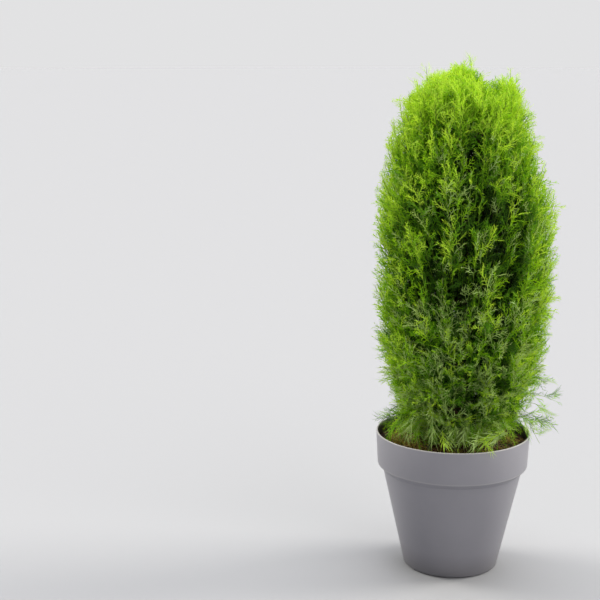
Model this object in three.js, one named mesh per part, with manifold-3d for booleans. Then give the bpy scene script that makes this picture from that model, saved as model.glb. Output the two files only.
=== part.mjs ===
// Potted thuja: an egg-shaped evergreen column of flat fan sprays, in a tapered plastic pot with a collar.
// Millimetres, +Z up, +Y away from the viewer. The origin is the centre of the pot's flat underside.
import * as THREE from "three";
import { mergeVertices } from "three/addons/utils/BufferGeometryUtils.js";
import Module from "manifold-3d";

const wasm = await Module();
wasm.setup();

// Pot
const rimRadius = 150;
const collarFootRadius = 146.5;
const shoulderRadius = 136;
const baseRadius = 92;
const potHeight = 272;
const collarFootHeight = 207;
const shoulderHeight = 197;
const footRounding = 5;
const footCornerShare = 0.3;
const lipRounding = 1;
const potWall = 3;
const potSides = 36;

// Compost
const compostLevel = 256;
const compostDish = 4;
const moundShare = 0.4;
const dishShare = 0.72;
const clearance = 0.3;

// Crown outline: a rounded column around a centre line that leans a little to +X half way up
const crownMiddle = 600;
const crownAbove = 390;
const crownBelow = 375;
const crownRadius = 174;
const crownRoundness = 2.6;
const crownShift = 16;
const sidePeak = 36;
const sidePeakSpread = 0.6;
// The peak on the +X side stays a little below that outline, and a dip parts it from the leader.
const sidePeakDrop = 0.6;
const peakDrop = 6;
const peakDip = { x: 47, across: 19, along: 75, depth: 40 };
const reachHalvings = 20;

// Branch flow: a branch that leaves the trunk at a height bends upwards as it runs out.
// Its rise is a climb that grows with that height, times a curve of its radius.
const flowFoot = 268;
const climbAtFoot = 0.06;
const climbPerMillimetre = 0.0025;
const earlyRise = 0.35;
const lateRise = 1.1;

// Trunk and the upright boughs that leave it low down
const trunkFootRadius = 13;
const trunkTipRadius = 4;
const trunkTip = 880;
const trunkBelowCut = 12;
const trunkSway = 4;
const trunkSwaysAcross = 9;
const trunkSwaysAlong = 7;
const trunkPoints = 9;
const rootFlare = 9;
const rootFlareHeight = 22;
const trunkFacets = { sides: 9, steps: 14 };
const boughFacets = { sides: 7, steps: 8 };
const stemFacets = { sides: 4, steps: 3 };
// A level direction that no limb runs along, from which the sides of its rings are counted
const limbSide = new THREE.Vector3(1, 0.2, 0);
const boughs = [
  { name: "bough_right", azimuth: -4, leaves: 325, ends: 820, radius: 6.5 },
  { name: "bough_front", azimuth: -96, leaves: 360, ends: 750, radius: 6 },
  { name: "bough_left", azimuth: 168, leaves: 395, ends: 790, radius: 6 },
  { name: "bough_back", azimuth: 84, leaves: 430, ends: 770, radius: 5.5 },
];
const boughStandOff = 25;
const boughSwing = 2.5;
const boughPoints = [0, 0.2, 0.4, 0.7, 1];
const boughTipRadius = 3;

// Tiers of foliage masses, by the flow heights between which their branches leave the trunk.
// Each keeps an inner radius free for the limbs and holds rows of sprays over its outer face.
const tiers = [
  { name: "skirt", from: 262, to: 326, count: 6, turn: 0, inner: 34, columns: 3, rows: 2 },
  { name: "low", from: 326, to: 408, count: 6, turn: 0.5, inner: 34, columns: 3, rows: 3 },
  { name: "middle", from: 408, to: 500, count: 6, turn: 0.25, inner: 34, columns: 3, rows: 3 },
  { name: "upper", from: 500, to: 605, count: 6, turn: 0.7, inner: 32, columns: 3, rows: 3 },
  { name: "shoulder", from: 605, to: 720, count: 5, turn: 0.15, inner: 30, columns: 3, rows: 3 },
  { name: "crest", from: 720, to: 832, count: 4, turn: 0.55, inner: 34, columns: 3, rows: 2 },
  { name: "top", from: 832, to: 1100, count: 4, turn: 0.05, inner: 42, columns: 5, rows: 2 },
];
// The mass that straggles out beyond the outline, low on the right
const looseMass = { name: "foliage_skirt_1", reach: 1.5 };
const spaceGap = 1;
const compostGap = 2;
const rimGap = { inside: 8, outside: 4, above: 3 };
const seedsPerMass = 12;
const meshTolerance = 0.6;
const cutTolerance = 0.02;
const mergeTolerance = 1e-4;
const roundedPlaces = 1000;

// Core of a mass: the share of its space that it fills
const coreSquareness = 6;
const coreFill = 0.95;
const coreOuterShare = 0.84;
const coreInset = 8;
const coreSides = 8;
const coreRings = 5;
const topCoreTo = 876;

// Stem of a mass, and the twigs that leave it
const stemRadius = 3.2;
const stemTaper = 0.5;
const stemStagger = 0.3;
const stemInside = 0.6;
const stemDrop = 12;
const stemDropWeight = 3;
const anchorSteps = 50;
const anchorFreeSteps = 2;
const twigRadius = 2.4;
const twigSides = 3;
const twigsFrom = 0.6;
const twigInBlade = 0.25;

// A spray's outline on one side, as shares of its length and half width: fingers and the notches between them
const sprayRim = [
  [0.56, 1],
  [0.52, 0.45],
  [0.84, 0.72],
  [0.76, 0.24],
];
const sprayHub = 0.45;
const sprayHalfWidth = 0.34;
const sprayThickness = 0.035;
const sprayRoll = 0.9;
const sprayBend = 0.2;
const sprayShrink = 0.86;
const sprayTries = 5;

// Spreading sprays: how far in they root, how much of the space's height they use and lean up by
const sprayRootShare = 0.7;
const sprayLean = 0.3;
const sprayDip = 0.15;
const flowUse = 0.4;
const flowSpread = 0.15;
const turnUse = 0.85;
const turnSpread = 0.1;
const rootGap = 8;
const tipGap = 5;
const reachSpread = 0.05;

// Upright sprays round the top
const uprightRadii = [84, 58];
const uprightLength = 64;
const uprightSplay = 0.9;
const uprightDrop = 12;
const uprightSpread = 5;

// Leader: the mass that stands on the trunk's tip
const leader = {
  foot: 850,
  top: 1003,
  radius: 40,
  coreRadius: 22,
  coreTop: 955,
  coreSides: 8,
  coreRings: 6,
  sprays: 9,
  sprayLength: 78,
  rootRadius: 6,
  narrowing: 0.7,
  turnSpread: 0.3,
};
const goldenTurn = 2.39996;

// A linear congruential series: its usual factors, and the size of the whole numbers that it steps through
const seriesStart = 2654435761;
const seriesFactor = 1664525;
const seriesStep = 1013904223;
const seriesSize = 2 ** 32;

const up = new THREE.Vector3(0, 0, 1);
const radians = THREE.MathUtils.degToRad;

// A repeatable series of numbers from 0 to 1.
function series(seed) {
  let state = Math.imul(seed + 1, seriesStart) >>> 0;
  return () => {
    state = (Math.imul(state, seriesFactor) + seriesStep) >>> 0;
    return state / seriesSize;
  };
}

// A closed geometry as a solid: only its positions count.
function solidOf(geometry) {
  geometry.deleteAttribute("normal");
  geometry.deleteAttribute("uv");
  const merged = mergeVertices(geometry, mergeTolerance);
  return new wasm.Manifold(
    new wasm.Mesh({
      numProp: 3,
      vertProperties: new Float32Array(merged.attributes.position.array),
      triVerts: new Uint32Array(merged.index.array),
    }),
  );
}

function meshOf(name, solid, material) {
  const made = solid.getMesh();
  const geometry = new THREE.BufferGeometry()
    .setAttribute("position", new THREE.BufferAttribute(made.vertProperties, 3))
    .setIndex(new THREE.BufferAttribute(made.triVerts, 1));
  geometry.computeVertexNormals();
  const mesh = new THREE.Mesh(geometry, material);
  mesh.name = name;
  return mesh;
}

// The largest of the bodies that a cut left.
function largest(solid) {
  return solid.decompose().sort((a, b) => b.volume() - a.volume())[0];
}

// A fused solid without loose scraps and needless small triangles.
function tidied(solid) {
  return largest(largest(solid).simplify(meshTolerance));
}

// Whether a solid stays one closed surface when its vertices are rounded to a thousandth of a millimetre.
function isSound(solid) {
  const made = solid.getMesh();
  const points = new Map();
  const key = (vertex) =>
    [0, 1, 2]
      .map((axis) => Math.round(made.vertProperties[3 * vertex + axis] * roundedPlaces))
      .join(" ");
  const numberOf = (vertex) => {
    const place = key(vertex);
    if (!points.has(place)) points.set(place, points.size);
    return points.get(place);
  };
  const edges = new Map();
  for (let i = 0; i < made.triVerts.length; i += 3) {
    const corners = [0, 1, 2].map((corner) => numberOf(made.triVerts[i + corner]));
    if (new Set(corners).size < 3) continue;
    for (let corner = 0; corner < 3; corner++) {
      const edge = `${corners[corner]} ${corners[(corner + 1) % 3]}`;
      edges.set(edge, (edges.get(edge) ?? 0) + 1);
    }
  }
  return [...edges].every(([edge, uses]) => {
    const [from, to] = edge.split(" ");
    return uses === 1 && edges.get(`${to} ${from}`) === 1;
  });
}

function turned(profile, sides) {
  return new THREE.LatheGeometry(profile, sides).rotateX(Math.PI / 2);
}

// How much higher the outline's top stands on the side of an azimuth.
function sideLift(azimuth) {
  return sidePeak * Math.exp(-((azimuth / sidePeakSpread) ** 2));
}

// Half the crown's width at a height, on the side of an azimuth.
function outlineRadius(height, azimuth) {
  const half = height > crownMiddle ? crownAbove + sideLift(azimuth) : crownBelow;
  const share = Math.min(1, Math.abs(height - crownMiddle) / half);
  return crownRadius * Math.sqrt(1 - share ** crownRoundness);
}

// The height at which the top of the outline narrows to a radius.
function outlineHeight(radius, azimuth) {
  const half = crownAbove + sideLift(azimuth);
  return crownMiddle + half * (1 - (radius / crownRadius) ** crownRoundness) ** (1 / crownRoundness);
}

// How much lower the crown's top is in the dip beside its leader.
function dipAt(x, y) {
  const across = (x - peakDip.x) / peakDip.across;
  return peakDip.depth * Math.exp(-(across ** 2) - (y / peakDip.along) ** 4);
}

function centreLine(height) {
  const half = height > crownMiddle ? crownAbove : crownBelow;
  const share = Math.min(1, Math.abs(height - crownMiddle) / half);
  return new THREE.Vector3(crownShift * (1 - share * share), 0, height);
}

function climb(flow) {
  return climbAtFoot + climbPerMillimetre * (flow - flowFoot);
}

function riseShape(radius) {
  return radius * (earlyRise + lateRise * (radius / crownRadius) ** 2);
}

function flowHeight(flow, radius) {
  return flow + climb(flow) * riseShape(radius);
}

// The point at a radius along the branch that leaves the trunk at the height flow.
function flowPoint(azimuth, flow, radius) {
  const centre = centreLine(flowHeight(flow, radius));
  return centre.add(
    new THREE.Vector3(radius * Math.cos(azimuth), radius * Math.sin(azimuth), 0),
  );
}

// The flow height, radius and azimuth of a point: flowPoint turned round.
function flowPlace(point) {
  const centre = centreLine(point.z);
  const x = point.x - centre.x;
  const y = point.y - centre.y;
  const radius = Math.hypot(x, y);
  const rise = riseShape(radius);
  const gain = climbPerMillimetre * rise;
  const flow = (point.z - climbAtFoot * rise + gain * flowFoot) / (1 + gain);
  return { azimuth: Math.atan2(y, x), flow, radius };
}

// The radius at which a branch meets the crown's outline.
function flowReach(azimuth, flow) {
  let inside = 0;
  let outside = crownRadius;
  for (let halving = 0; halving < reachHalvings; halving++) {
    const middle = (inside + outside) / 2;
    const height = flowHeight(flow, middle);
    if (height < crownMiddle + crownAbove + sidePeak && middle < outlineRadius(height, azimuth)) {
      inside = middle;
    } else {
      outside = middle;
    }
  }
  return inside;
}

// The smallest turn from one azimuth to another.
function turnBetween(from, to) {
  return Math.atan2(Math.sin(to - from), Math.cos(to - from));
}

// A round tapering limb along a curve.
function limb(curve, radiusAt, { sides, steps }) {
  const geometry = new THREE.CylinderGeometry(1, 1, 1, sides, steps);
  const position = geometry.attributes.position;
  const aside = new THREE.Vector3();
  const across = new THREE.Vector3();
  for (let i = 0; i < position.count; i++) {
    const share = position.getY(i) + 0.5;
    const radius = radiusAt(share);
    const along = curve.getTangent(share);
    aside.copy(limbSide).addScaledVector(along, -along.dot(limbSide)).normalize();
    across.crossVectors(aside, along);
    const point = curve
      .getPoint(share)
      .addScaledVector(aside, radius * position.getX(i))
      .addScaledVector(across, radius * position.getZ(i));
    position.setXYZ(i, point.x, point.y, point.z);
  }
  return solidOf(geometry);
}

function lathed(profile) {
  return solidOf(
    turned(
      profile.map(([radius, height]) => new THREE.Vector2(radius, height)),
      potSides,
    ),
  );
}

// How far the pot's lower wall stands out at the top of the rounding round its foot.
const footLean = (footRounding * (shoulderRadius - baseRadius)) / shoulderHeight;

function pot() {
  return lathed([
    [0, 0],
    [baseRadius - footRounding, 0],
    [baseRadius - footRounding * footCornerShare, footRounding * footCornerShare],
    [baseRadius + footLean, footRounding],
    [shoulderRadius, shoulderHeight],
    [collarFootRadius, collarFootHeight],
    [rimRadius, potHeight - lipRounding],
    [rimRadius - lipRounding, potHeight],
    [rimRadius - potWall + lipRounding, potHeight],
    [rimRadius - potWall, potHeight - lipRounding],
    [collarFootRadius - potWall, collarFootHeight + potWall / 2],
    [shoulderRadius - potWall, shoulderHeight + potWall / 2],
    [baseRadius - potWall + footLean, potWall + lipRounding],
    [0, potWall],
  ]);
}

// The pot's inner radius at a height in the collar, less the gap that the compost keeps.
function compostRadiusAt(height) {
  const share = (height - collarFootHeight) / (potHeight - collarFootHeight);
  return collarFootRadius - potWall + (rimRadius - collarFootRadius) * share - 2 * clearance;
}

// The compost fills the pot to a little under the rim, with a mound at the trunk and a shallow dish round it.
function compost() {
  const edge = compostRadiusAt(compostLevel);
  return lathed([
    [0, potWall + clearance],
    [baseRadius - potWall + footLean - 2 * clearance, potWall + lipRounding + clearance],
    [shoulderRadius - potWall - 2 * clearance, shoulderHeight + potWall],
    [collarFootRadius - potWall - 2 * clearance, collarFootHeight + 2 * potWall],
    [compostRadiusAt(compostLevel - compostDish), compostLevel - compostDish],
    [edge * dishShare, compostLevel - compostDish],
    [edge * moundShare, compostLevel],
    [0, compostLevel],
  ]);
}

function trunkCurve() {
  const foot = compostLevel - trunkBelowCut;
  const points = Array.from({ length: trunkPoints }, (_, i) => {
    const share = i / (trunkPoints - 1);
    const point = centreLine(foot + (trunkTip - foot) * share);
    point.x += trunkSway * Math.sin(trunkSwaysAcross * share);
    point.y += trunkSway * Math.sin(trunkSwaysAlong * share);
    return point;
  });
  return new THREE.CatmullRomCurve3(points);
}

function trunkRadiusAt(share) {
  const length = trunkTip - compostLevel + trunkBelowCut;
  const height = length * share - trunkBelowCut;
  const taper = trunkFootRadius + (trunkTipRadius - trunkFootRadius) * share;
  return taper + rootFlare * Math.exp(-height / rootFlareHeight);
}

// The middle of the trunk at a height.
function trunkMiddle(height) {
  const foot = compostLevel - trunkBelowCut;
  return trunkCurve().getPoint((height - foot) / (trunkTip - foot));
}

// A bough leaves the trunk, swings out to its stand-off and then runs up beside it.
function boughCurve(bough) {
  const azimuth = radians(bough.azimuth);
  const aside = new THREE.Vector3(Math.cos(azimuth), Math.sin(azimuth), 0);
  const points = boughPoints.map((share) => {
    const off = boughStandOff * Math.sin((Math.PI / 2) * Math.min(1, share * boughSwing));
    const height = bough.leaves + (bough.ends - bough.leaves) * share;
    return trunkMiddle(height).addScaledVector(aside, off);
  });
  return new THREE.CatmullRomCurve3(points);
}

// A flat fan spray from its root to its tip: a thin double pyramid whose rim is drawn out into fingers.
// The roll turns it about its own length and the size scales its width.
function spray(root, tip, roll, bend, size) {
  const rim = [
    [1, 0],
    ...[...sprayRim].reverse(),
    [0, 0],
    ...sprayRim.map(([alongShare, widthShare]) => [alongShare, -widthShare]),
  ];
  const geometry = new THREE.SphereGeometry(1, rim.length, 2);
  const position = geometry.attributes.position;
  const along = tip.clone().sub(root);
  const length = along.length();
  along.divideScalar(length);
  const width = new THREE.Vector3().crossVectors(up, along).normalize();
  width.applyAxisAngle(along, roll);
  const face = new THREE.Vector3().crossVectors(along, width);
  for (let i = 0; i < position.count; i++) {
    const ring = Math.floor(i / (rim.length + 1));
    const onRim = rim[(i % (rim.length + 1)) % rim.length];
    const [alongShare, widthShare] = ring === 1 ? onRim : [sprayHub, 0];
    const faceShare = ((1 - ring) * sprayThickness) / 2 + bend * (alongShare - sprayHub) ** 2;
    const point = root
      .clone()
      .addScaledVector(along, length * alongShare)
      .addScaledVector(width, length * widthShare * sprayHalfWidth * size)
      .addScaledVector(face, length * faceShare);
    position.setXYZ(i, point.x, point.y, point.z);
  }
  return geometry;
}

// A three-sided twig that tapers to a point.
function twig(start, end) {
  const length = start.distanceTo(end);
  const along = end.clone().sub(start).divideScalar(length);
  const geometry = new THREE.CylinderGeometry(0, twigRadius, length, twigSides, 1)
    .translate(0, length / 2, 0)
    .applyQuaternion(new THREE.Quaternion().setFromUnitVectors(new THREE.Vector3(0, 1, 0), along))
    .translate(start.x, start.y, start.z);
  return solidOf(geometry);
}

function pointsOf(geometry) {
  const position = geometry.attributes.position;
  return Array.from({ length: position.count }, (_, i) =>
    new THREE.Vector3().fromBufferAttribute(position, i),
  );
}

// Whether a point lies in a mass's own space, clear of its neighbours', the compost and the pot.
function inSpace(space, point) {
  const place = flowPlace(point);
  const turn = Math.abs(turnBetween(space.azimuth, place.azimuth));
  const sideways = Math.sin(Math.max(0, space.halfTurn - turn)) * place.radius;
  return (
    place.radius > space.inner &&
    turn < space.halfTurn &&
    sideways > spaceGap &&
    place.flow > space.from + spaceGap &&
    place.flow < space.to - spaceGap &&
    clearOfPot(point)
  );
}

function clearOfPot(point) {
  const radius = Math.hypot(point.x, point.y);
  if (radius < rimRadius - rimGap.inside) return point.z > compostLevel + compostGap;
  return radius > rimRadius + rimGap.outside || point.z > potHeight + rimGap.above;
}

// A core that fills the inside of a mass's space: a ball drawn out towards the corners of that space.
function core(space) {
  const geometry = new THREE.SphereGeometry(1, coreSides, coreRings);
  const position = geometry.attributes.position;
  const inner = space.inner + coreInset;
  const to = Math.min(space.to, topCoreTo);
  for (let i = 0; i < position.count; i++) {
    const ball = [position.getX(i), position.getY(i), position.getZ(i)];
    const size = ball.reduce((sum, part) => sum + Math.abs(part) ** coreSquareness, 0);
    const [sideways, outwards, upwards] = ball.map((part) => part / size ** (1 / coreSquareness));
    const flow = (space.from + to + coreFill * (to - space.from) * upwards) / 2;
    const azimuth = space.azimuth - coreFill * space.halfTurn * sideways;
    const outer = coreOuterShare * flowReach(azimuth, flow);
    const radius = inner + ((outer - inner) * (outwards + 1)) / 2;
    const point = flowPoint(azimuth, flow, radius);
    position.setXYZ(i, point.x, point.y, point.z);
  }
  return solidOf(geometry);
}

// The limb nearest to where a mass's stem begins, as the point on its curve a little lower.
function anchorFor(limbs, point) {
  const start = new THREE.Vector3();
  let best = Infinity;
  for (const { curve } of limbs) {
    for (let step = anchorFreeSteps; step <= anchorSteps - anchorFreeSteps; step++) {
      const candidate = curve.getPoint(step / anchorSteps);
      const high = Math.max(0, candidate.z + stemDrop - point.z);
      const away = candidate.distanceTo(point) + stemDropWeight * high;
      if (away < best) {
        best = away;
        start.copy(candidate);
      }
    }
  }
  return start;
}

// The line of a mass's stem, from its limb to well inside the mass.
function stemCurveOf(space, limbs) {
  const to = Math.min(space.to, topCoreTo);
  const middleFlow = (space.from + to) / 2;
  const startFlow = middleFlow + space.stagger * (to - space.from);
  const inside = stemInside * flowReach(space.azimuth, middleFlow);
  const start = anchorFor(limbs, flowPoint(space.azimuth, startFlow, space.inner));
  const bend = flowPoint(space.azimuth, middleFlow, space.inner + coreInset);
  const end = flowPoint(space.azimuth, middleFlow, Math.max(inside, space.inner + 2 * coreInset));
  return new THREE.QuadraticBezierCurve3(start, bend, end);
}

function stem(curve, extra) {
  const radiusAt = (share) => stemRadius * (1 - stemTaper * share) + extra;
  return limb(curve, radiusAt, stemFacets);
}

// A number from -1 to 1 out of a series.
function either(next) {
  return 2 * next() - 1;
}

// Where the root and tip of a spray of a spreading mass lie: along the flow, leaning upwards.
function spreadingEnds(space, sideShare, flowShare, next) {
  const height = space.to - space.from;
  const rowShare = flowShare + flowSpread * either(next);
  const flow = (space.from + space.to) / 2 + flowUse * height * rowShare;
  const turn = turnUse * space.halfTurn * (sideShare + turnSpread * either(next));
  const rootFlow = Math.max(space.from + rootGap, flow - sprayDip * height);
  const tipFlow = Math.min(space.to - tipGap, flow + sprayLean * height);
  const azimuth = space.azimuth + turn;
  const reach = flowReach(azimuth, tipFlow) * space.reach * (1 + reachSpread * either(next));
  const root = flowPoint(space.azimuth + turnUse * turn, rootFlow, sprayRootShare * reach);
  return [root, flowPoint(azimuth, tipFlow, reach)];
}

// Where the root and tip of a spray of an upright mass lie: one above the other, up to the outline.
function uprightEnds(space, sideShare, row, next) {
  const radius = uprightRadii[row] + uprightSpread * either(next);
  const azimuth = space.azimuth + turnUse * space.halfTurn * (sideShare + turnSpread * either(next));
  const aside = new THREE.Vector3(Math.cos(azimuth), Math.sin(azimuth), 0);
  const drop = peakDrop + sidePeakDrop * sideLift(azimuth) + dipAt(radius * aside.x, radius * aside.y);
  const top = outlineHeight(radius, azimuth) - drop - uprightDrop * next();
  const root = centreLine(top - uprightLength).addScaledVector(aside, radius * uprightSplay);
  return [root, centreLine(top).addScaledVector(aside, radius)];
}

// Sprays placed one at a time: one that would leave the space or touch a limb or an earlier spray is skipped.
function placedSprays(isInside, blocked) {
  const solids = [];
  const place = (blade) => {
    if (!pointsOf(blade).every(isInside)) return false;
    const solid = solidOf(blade);
    const touches = [blocked, ...solids].some((other) => other.intersect(solid).volume() > 0);
    if (touches) return false;
    solids.push(solid);
    return true;
  };
  return { solids, place };
}

// The pieces fused into one body, then cut clear of the limbs.
function fused(pieces, blocked) {
  const whole = tidied(wasm.Manifold.union(pieces));
  return largest(whole.subtract(blocked).simplify(cutTolerance));
}

// One foliage mass: a stem from its limb, a core, and rows of sprays that stand out of the core on twigs.
function foliageMass(space, limbs, blocked, seed) {
  const next = series(seed);
  const stemCurve = stemCurveOf(space, limbs);
  const sprays = placedSprays((point) => inSpace(space, point), blocked);
  const twigs = [];
  for (let row = 0; row < space.rows; row++) {
    const columns = space.columns - (row % 2);
    for (let column = 0; column < columns; column++) {
      const sideShare = (2 * (column + 0.5)) / columns - 1;
      const flowShare = (2 * (row + 0.5)) / space.rows - 1;
      for (let attempt = 0; attempt < sprayTries; attempt++) {
        const [root, tip] = space.upright
          ? uprightEnds(space, sideShare, row, next)
          : spreadingEnds(space, sideShare, flowShare, next);
        const roll = sprayRoll * either(next);
        const blade = spray(root, tip, roll, sprayBend * either(next), sprayShrink ** attempt);
        const joint = stemCurve.getPoint(twigsFrom + (1 - twigsFrom) * next());
        if (!sprays.place(blade)) continue;
        twigs.push(twig(joint, root.clone().lerp(tip, twigInBlade)));
        break;
      }
    }
  }
  const inner = space.loose ? [stem(stemCurve, 0)] : [stem(stemCurve, 0), core(space)];
  return fused([...inner, ...sprays.solids, ...twigs], blocked);
}

function leaderCore() {
  const middle = (leader.foot + leader.coreTop) / 2;
  const ball = new THREE.SphereGeometry(1, leader.coreSides, leader.coreRings)
    .rotateX(Math.PI / 2)
    .scale(leader.coreRadius, leader.coreRadius, (leader.coreTop - leader.foot) / 2)
    .translate(centreLine(middle).x, 0, middle);
  return solidOf(ball);
}

function inLeader(point) {
  const radius = Math.hypot(point.x - centreLine(point.z).x, point.y);
  return point.z > leader.foot && point.z < leader.top && radius < leader.radius - spaceGap;
}

// The leader's mass: sprays that stand up round a slim core, each turned on from the last.
function leaderMass(blocked, seed) {
  const next = series(seed);
  const stemCurve = new THREE.LineCurve3(centreLine(trunkTip - stemDrop), centreLine(leader.coreTop));
  const sprays = placedSprays(inLeader, blocked);
  for (let i = 0; i < leader.sprays; i++) {
    const share = i / (leader.sprays - 1);
    const rootHeight = leader.foot + rootGap + (leader.coreTop - leader.foot - 2 * rootGap) * share;
    for (let attempt = 0; attempt < sprayTries; attempt++) {
      const shrink = sprayShrink ** attempt;
      const azimuth = goldenTurn * i + leader.turnSpread * either(next);
      const aside = new THREE.Vector3(Math.cos(azimuth), Math.sin(azimuth), 0);
      const out = (leader.radius - tipGap) * (1 - leader.narrowing * share) * shrink;
      const tipHeight = Math.min(leader.top - spaceGap, rootHeight + leader.sprayLength * shrink);
      const root = centreLine(rootHeight).addScaledVector(aside, leader.rootRadius);
      const tip = centreLine(tipHeight).addScaledVector(aside, out);
      const roll = sprayRoll * either(next);
      if (sprays.place(spray(root, tip, roll, sprayBend * either(next), shrink))) break;
    }
  }
  return fused([stem(stemCurve, 0), leaderCore(), ...sprays.solids], blocked);
}

// A mass grown from one seed, or from the next ones until it is one sound body.
function soundMass(grow, firstSeed) {
  let seed = firstSeed;
  let solid = grow(seed);
  while (!isSound(solid) && seed < firstSeed + seedsPerMass - 1) {
    seed++;
    solid = grow(seed);
  }
  return solid;
}

function mouldedPlastic() {
  return new THREE.MeshStandardMaterial({ color: 0x76757a, roughness: 0.55, metalness: 0 });
}

function barkCompost() {
  return new THREE.MeshStandardMaterial({ color: 0x3a2618, roughness: 0.95, metalness: 0 });
}

function fibrousBark() {
  return new THREE.MeshStandardMaterial({ color: 0x5a4030, roughness: 0.9, metalness: 0 });
}

function scaleFoliage() {
  return new THREE.MeshStandardMaterial({ color: 0x5f9a22, roughness: 0.6, metalness: 0 });
}

// The trunk and boughs: each one's name and a function that gives its solid, swollen by a distance.
function limbsOf() {
  const trunk = { name: "trunk", curve: trunkCurve(), radiusAt: trunkRadiusAt, facets: trunkFacets };
  const upright = boughs.map((bough) => ({
    name: bough.name,
    curve: boughCurve(bough),
    radiusAt: (share) => bough.radius + (boughTipRadius - bough.radius) * share,
    facets: boughFacets,
  }));
  return [trunk, ...upright].map(({ name, curve, radiusAt, facets }) => ({
    name,
    curve,
    grown: (extra) => limb(curve, (share) => radiusAt(share) + extra, facets),
  }));
}

function spaceOf(tier, i, name) {
  const halfTurn = Math.PI / tier.count;
  const loose = name === looseMass.name;
  return {
    ...tier,
    azimuth: turnBetween(0, 2 * halfTurn * (i + tier.turn)),
    halfTurn,
    loose,
    upright: tier.name === "top",
    reach: loose ? looseMass.reach : 1,
    stagger: stemStagger * ((i % 3) - 1),
  };
}

function build() {
  const bark = fibrousBark();
  const green = scaleFoliage();
  const plant = new THREE.Group();
  plant.add(meshOf("pot", pot(), mouldedPlastic()));
  plant.add(meshOf("compost", compost(), barkCompost()));

  const limbs = limbsOf();
  const [trunk, ...upright] = limbs;
  const cutTrunk = trunk.grown(0).trimByPlane([0, 0, 1], compostLevel + clearance);
  plant.add(meshOf("trunk", cutTrunk, bark));
  for (const bough of upright) {
    const solid = largest(bough.grown(0).subtract(trunk.grown(clearance)));
    plant.add(meshOf(bough.name, solid, bark));
  }

  const blocked = wasm.Manifold.union(limbs.map((each) => each.grown(clearance)));
  const topStems = [];
  let firstSeed = 0;
  for (const tier of tiers) {
    for (let i = 0; i < tier.count; i++) {
      const name = `foliage_${tier.name}_${i + 1}`;
      const space = spaceOf(tier, i, name);
      if (space.upright) topStems.push(stem(stemCurveOf(space, limbs), clearance));
      const solid = soundMass((seed) => foliageMass(space, limbs, blocked, seed), firstSeed);
      plant.add(meshOf(name, solid, green));
      firstSeed += seedsPerMass;
    }
  }
  const nearLeader = wasm.Manifold.union([blocked, ...topStems]);
  const leaderSolid = soundMass((seed) => leaderMass(nearLeader, seed), firstSeed);
  plant.add(meshOf("foliage_leader", leaderSolid, green));
  return plant;
}

export default build();
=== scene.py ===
import math
from functools import partial

import bmesh
import bpy
import numpy as np
from bpy.props import FloatProperty, FloatVectorProperty, IntProperty
from mathutils import Matrix, Vector, noise


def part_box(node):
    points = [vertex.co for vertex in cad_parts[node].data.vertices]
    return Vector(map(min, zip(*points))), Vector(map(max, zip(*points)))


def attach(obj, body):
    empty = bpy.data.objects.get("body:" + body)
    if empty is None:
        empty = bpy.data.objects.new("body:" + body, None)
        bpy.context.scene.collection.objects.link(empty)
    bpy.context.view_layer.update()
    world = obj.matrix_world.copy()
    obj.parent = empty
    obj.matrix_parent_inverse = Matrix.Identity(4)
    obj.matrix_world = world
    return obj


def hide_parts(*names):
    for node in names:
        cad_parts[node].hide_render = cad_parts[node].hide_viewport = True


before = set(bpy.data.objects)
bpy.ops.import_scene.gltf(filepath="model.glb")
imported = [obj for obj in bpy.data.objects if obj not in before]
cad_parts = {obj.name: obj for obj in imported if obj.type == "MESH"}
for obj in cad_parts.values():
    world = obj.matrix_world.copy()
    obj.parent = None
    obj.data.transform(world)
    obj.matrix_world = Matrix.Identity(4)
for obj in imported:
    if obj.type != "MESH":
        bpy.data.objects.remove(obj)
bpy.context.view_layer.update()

bl_info = {
    "name": "Potted thuja",
    "version": (1, 0, 0),
    "blender": (4, 5, 0),
    "location": "3D View > Sidebar > Potted thuja",
    "description": "Dresses the frame of a potted column thuja: pot, compost, bark and foliage",
    "category": "Object",
}

POT_LOW, POT_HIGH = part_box("pot")
COMPOST_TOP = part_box("compost")[1][2]
MILLIMETRE = 0.001
TURN = 2 * math.pi
UP = np.array((0.0, 0.0, 1.0))
# The lower edge of the pot's collar, in metres, along which a painted highlight runs.
STEP_HEIGHT = 0.2078

# Growth rule in millimetres, by which the frame's solids grow too.
# Crown outline: a rounded column round a centre line that leans a little to +X half way up.
CROWN_MIDDLE = 600.0
CROWN_ABOVE = 390.0
CROWN_BELOW = 375.0
CROWN_RADIUS = 174.0
CROWN_ROUNDNESS = 2.6
CROWN_SHIFT = 16.0
SIDE_PEAK = 36.0
SIDE_PEAK_SPREAD = 0.6
# On the -X side the crown's top stands a little lower than that of the frame's solids.
FAR_DROP = 14.0
FAR_DROP_SPREAD = 0.9

# Branch flow: a branch that leaves the trunk at a height bends upwards as it runs out.
FLOW_FOOT = 268.0
CLIMB_AT_FOOT = 0.06
CLIMB_PER_MILLIMETRE = 0.0025
EARLY_RISE = 0.35
LATE_RISE = 1.1

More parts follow.
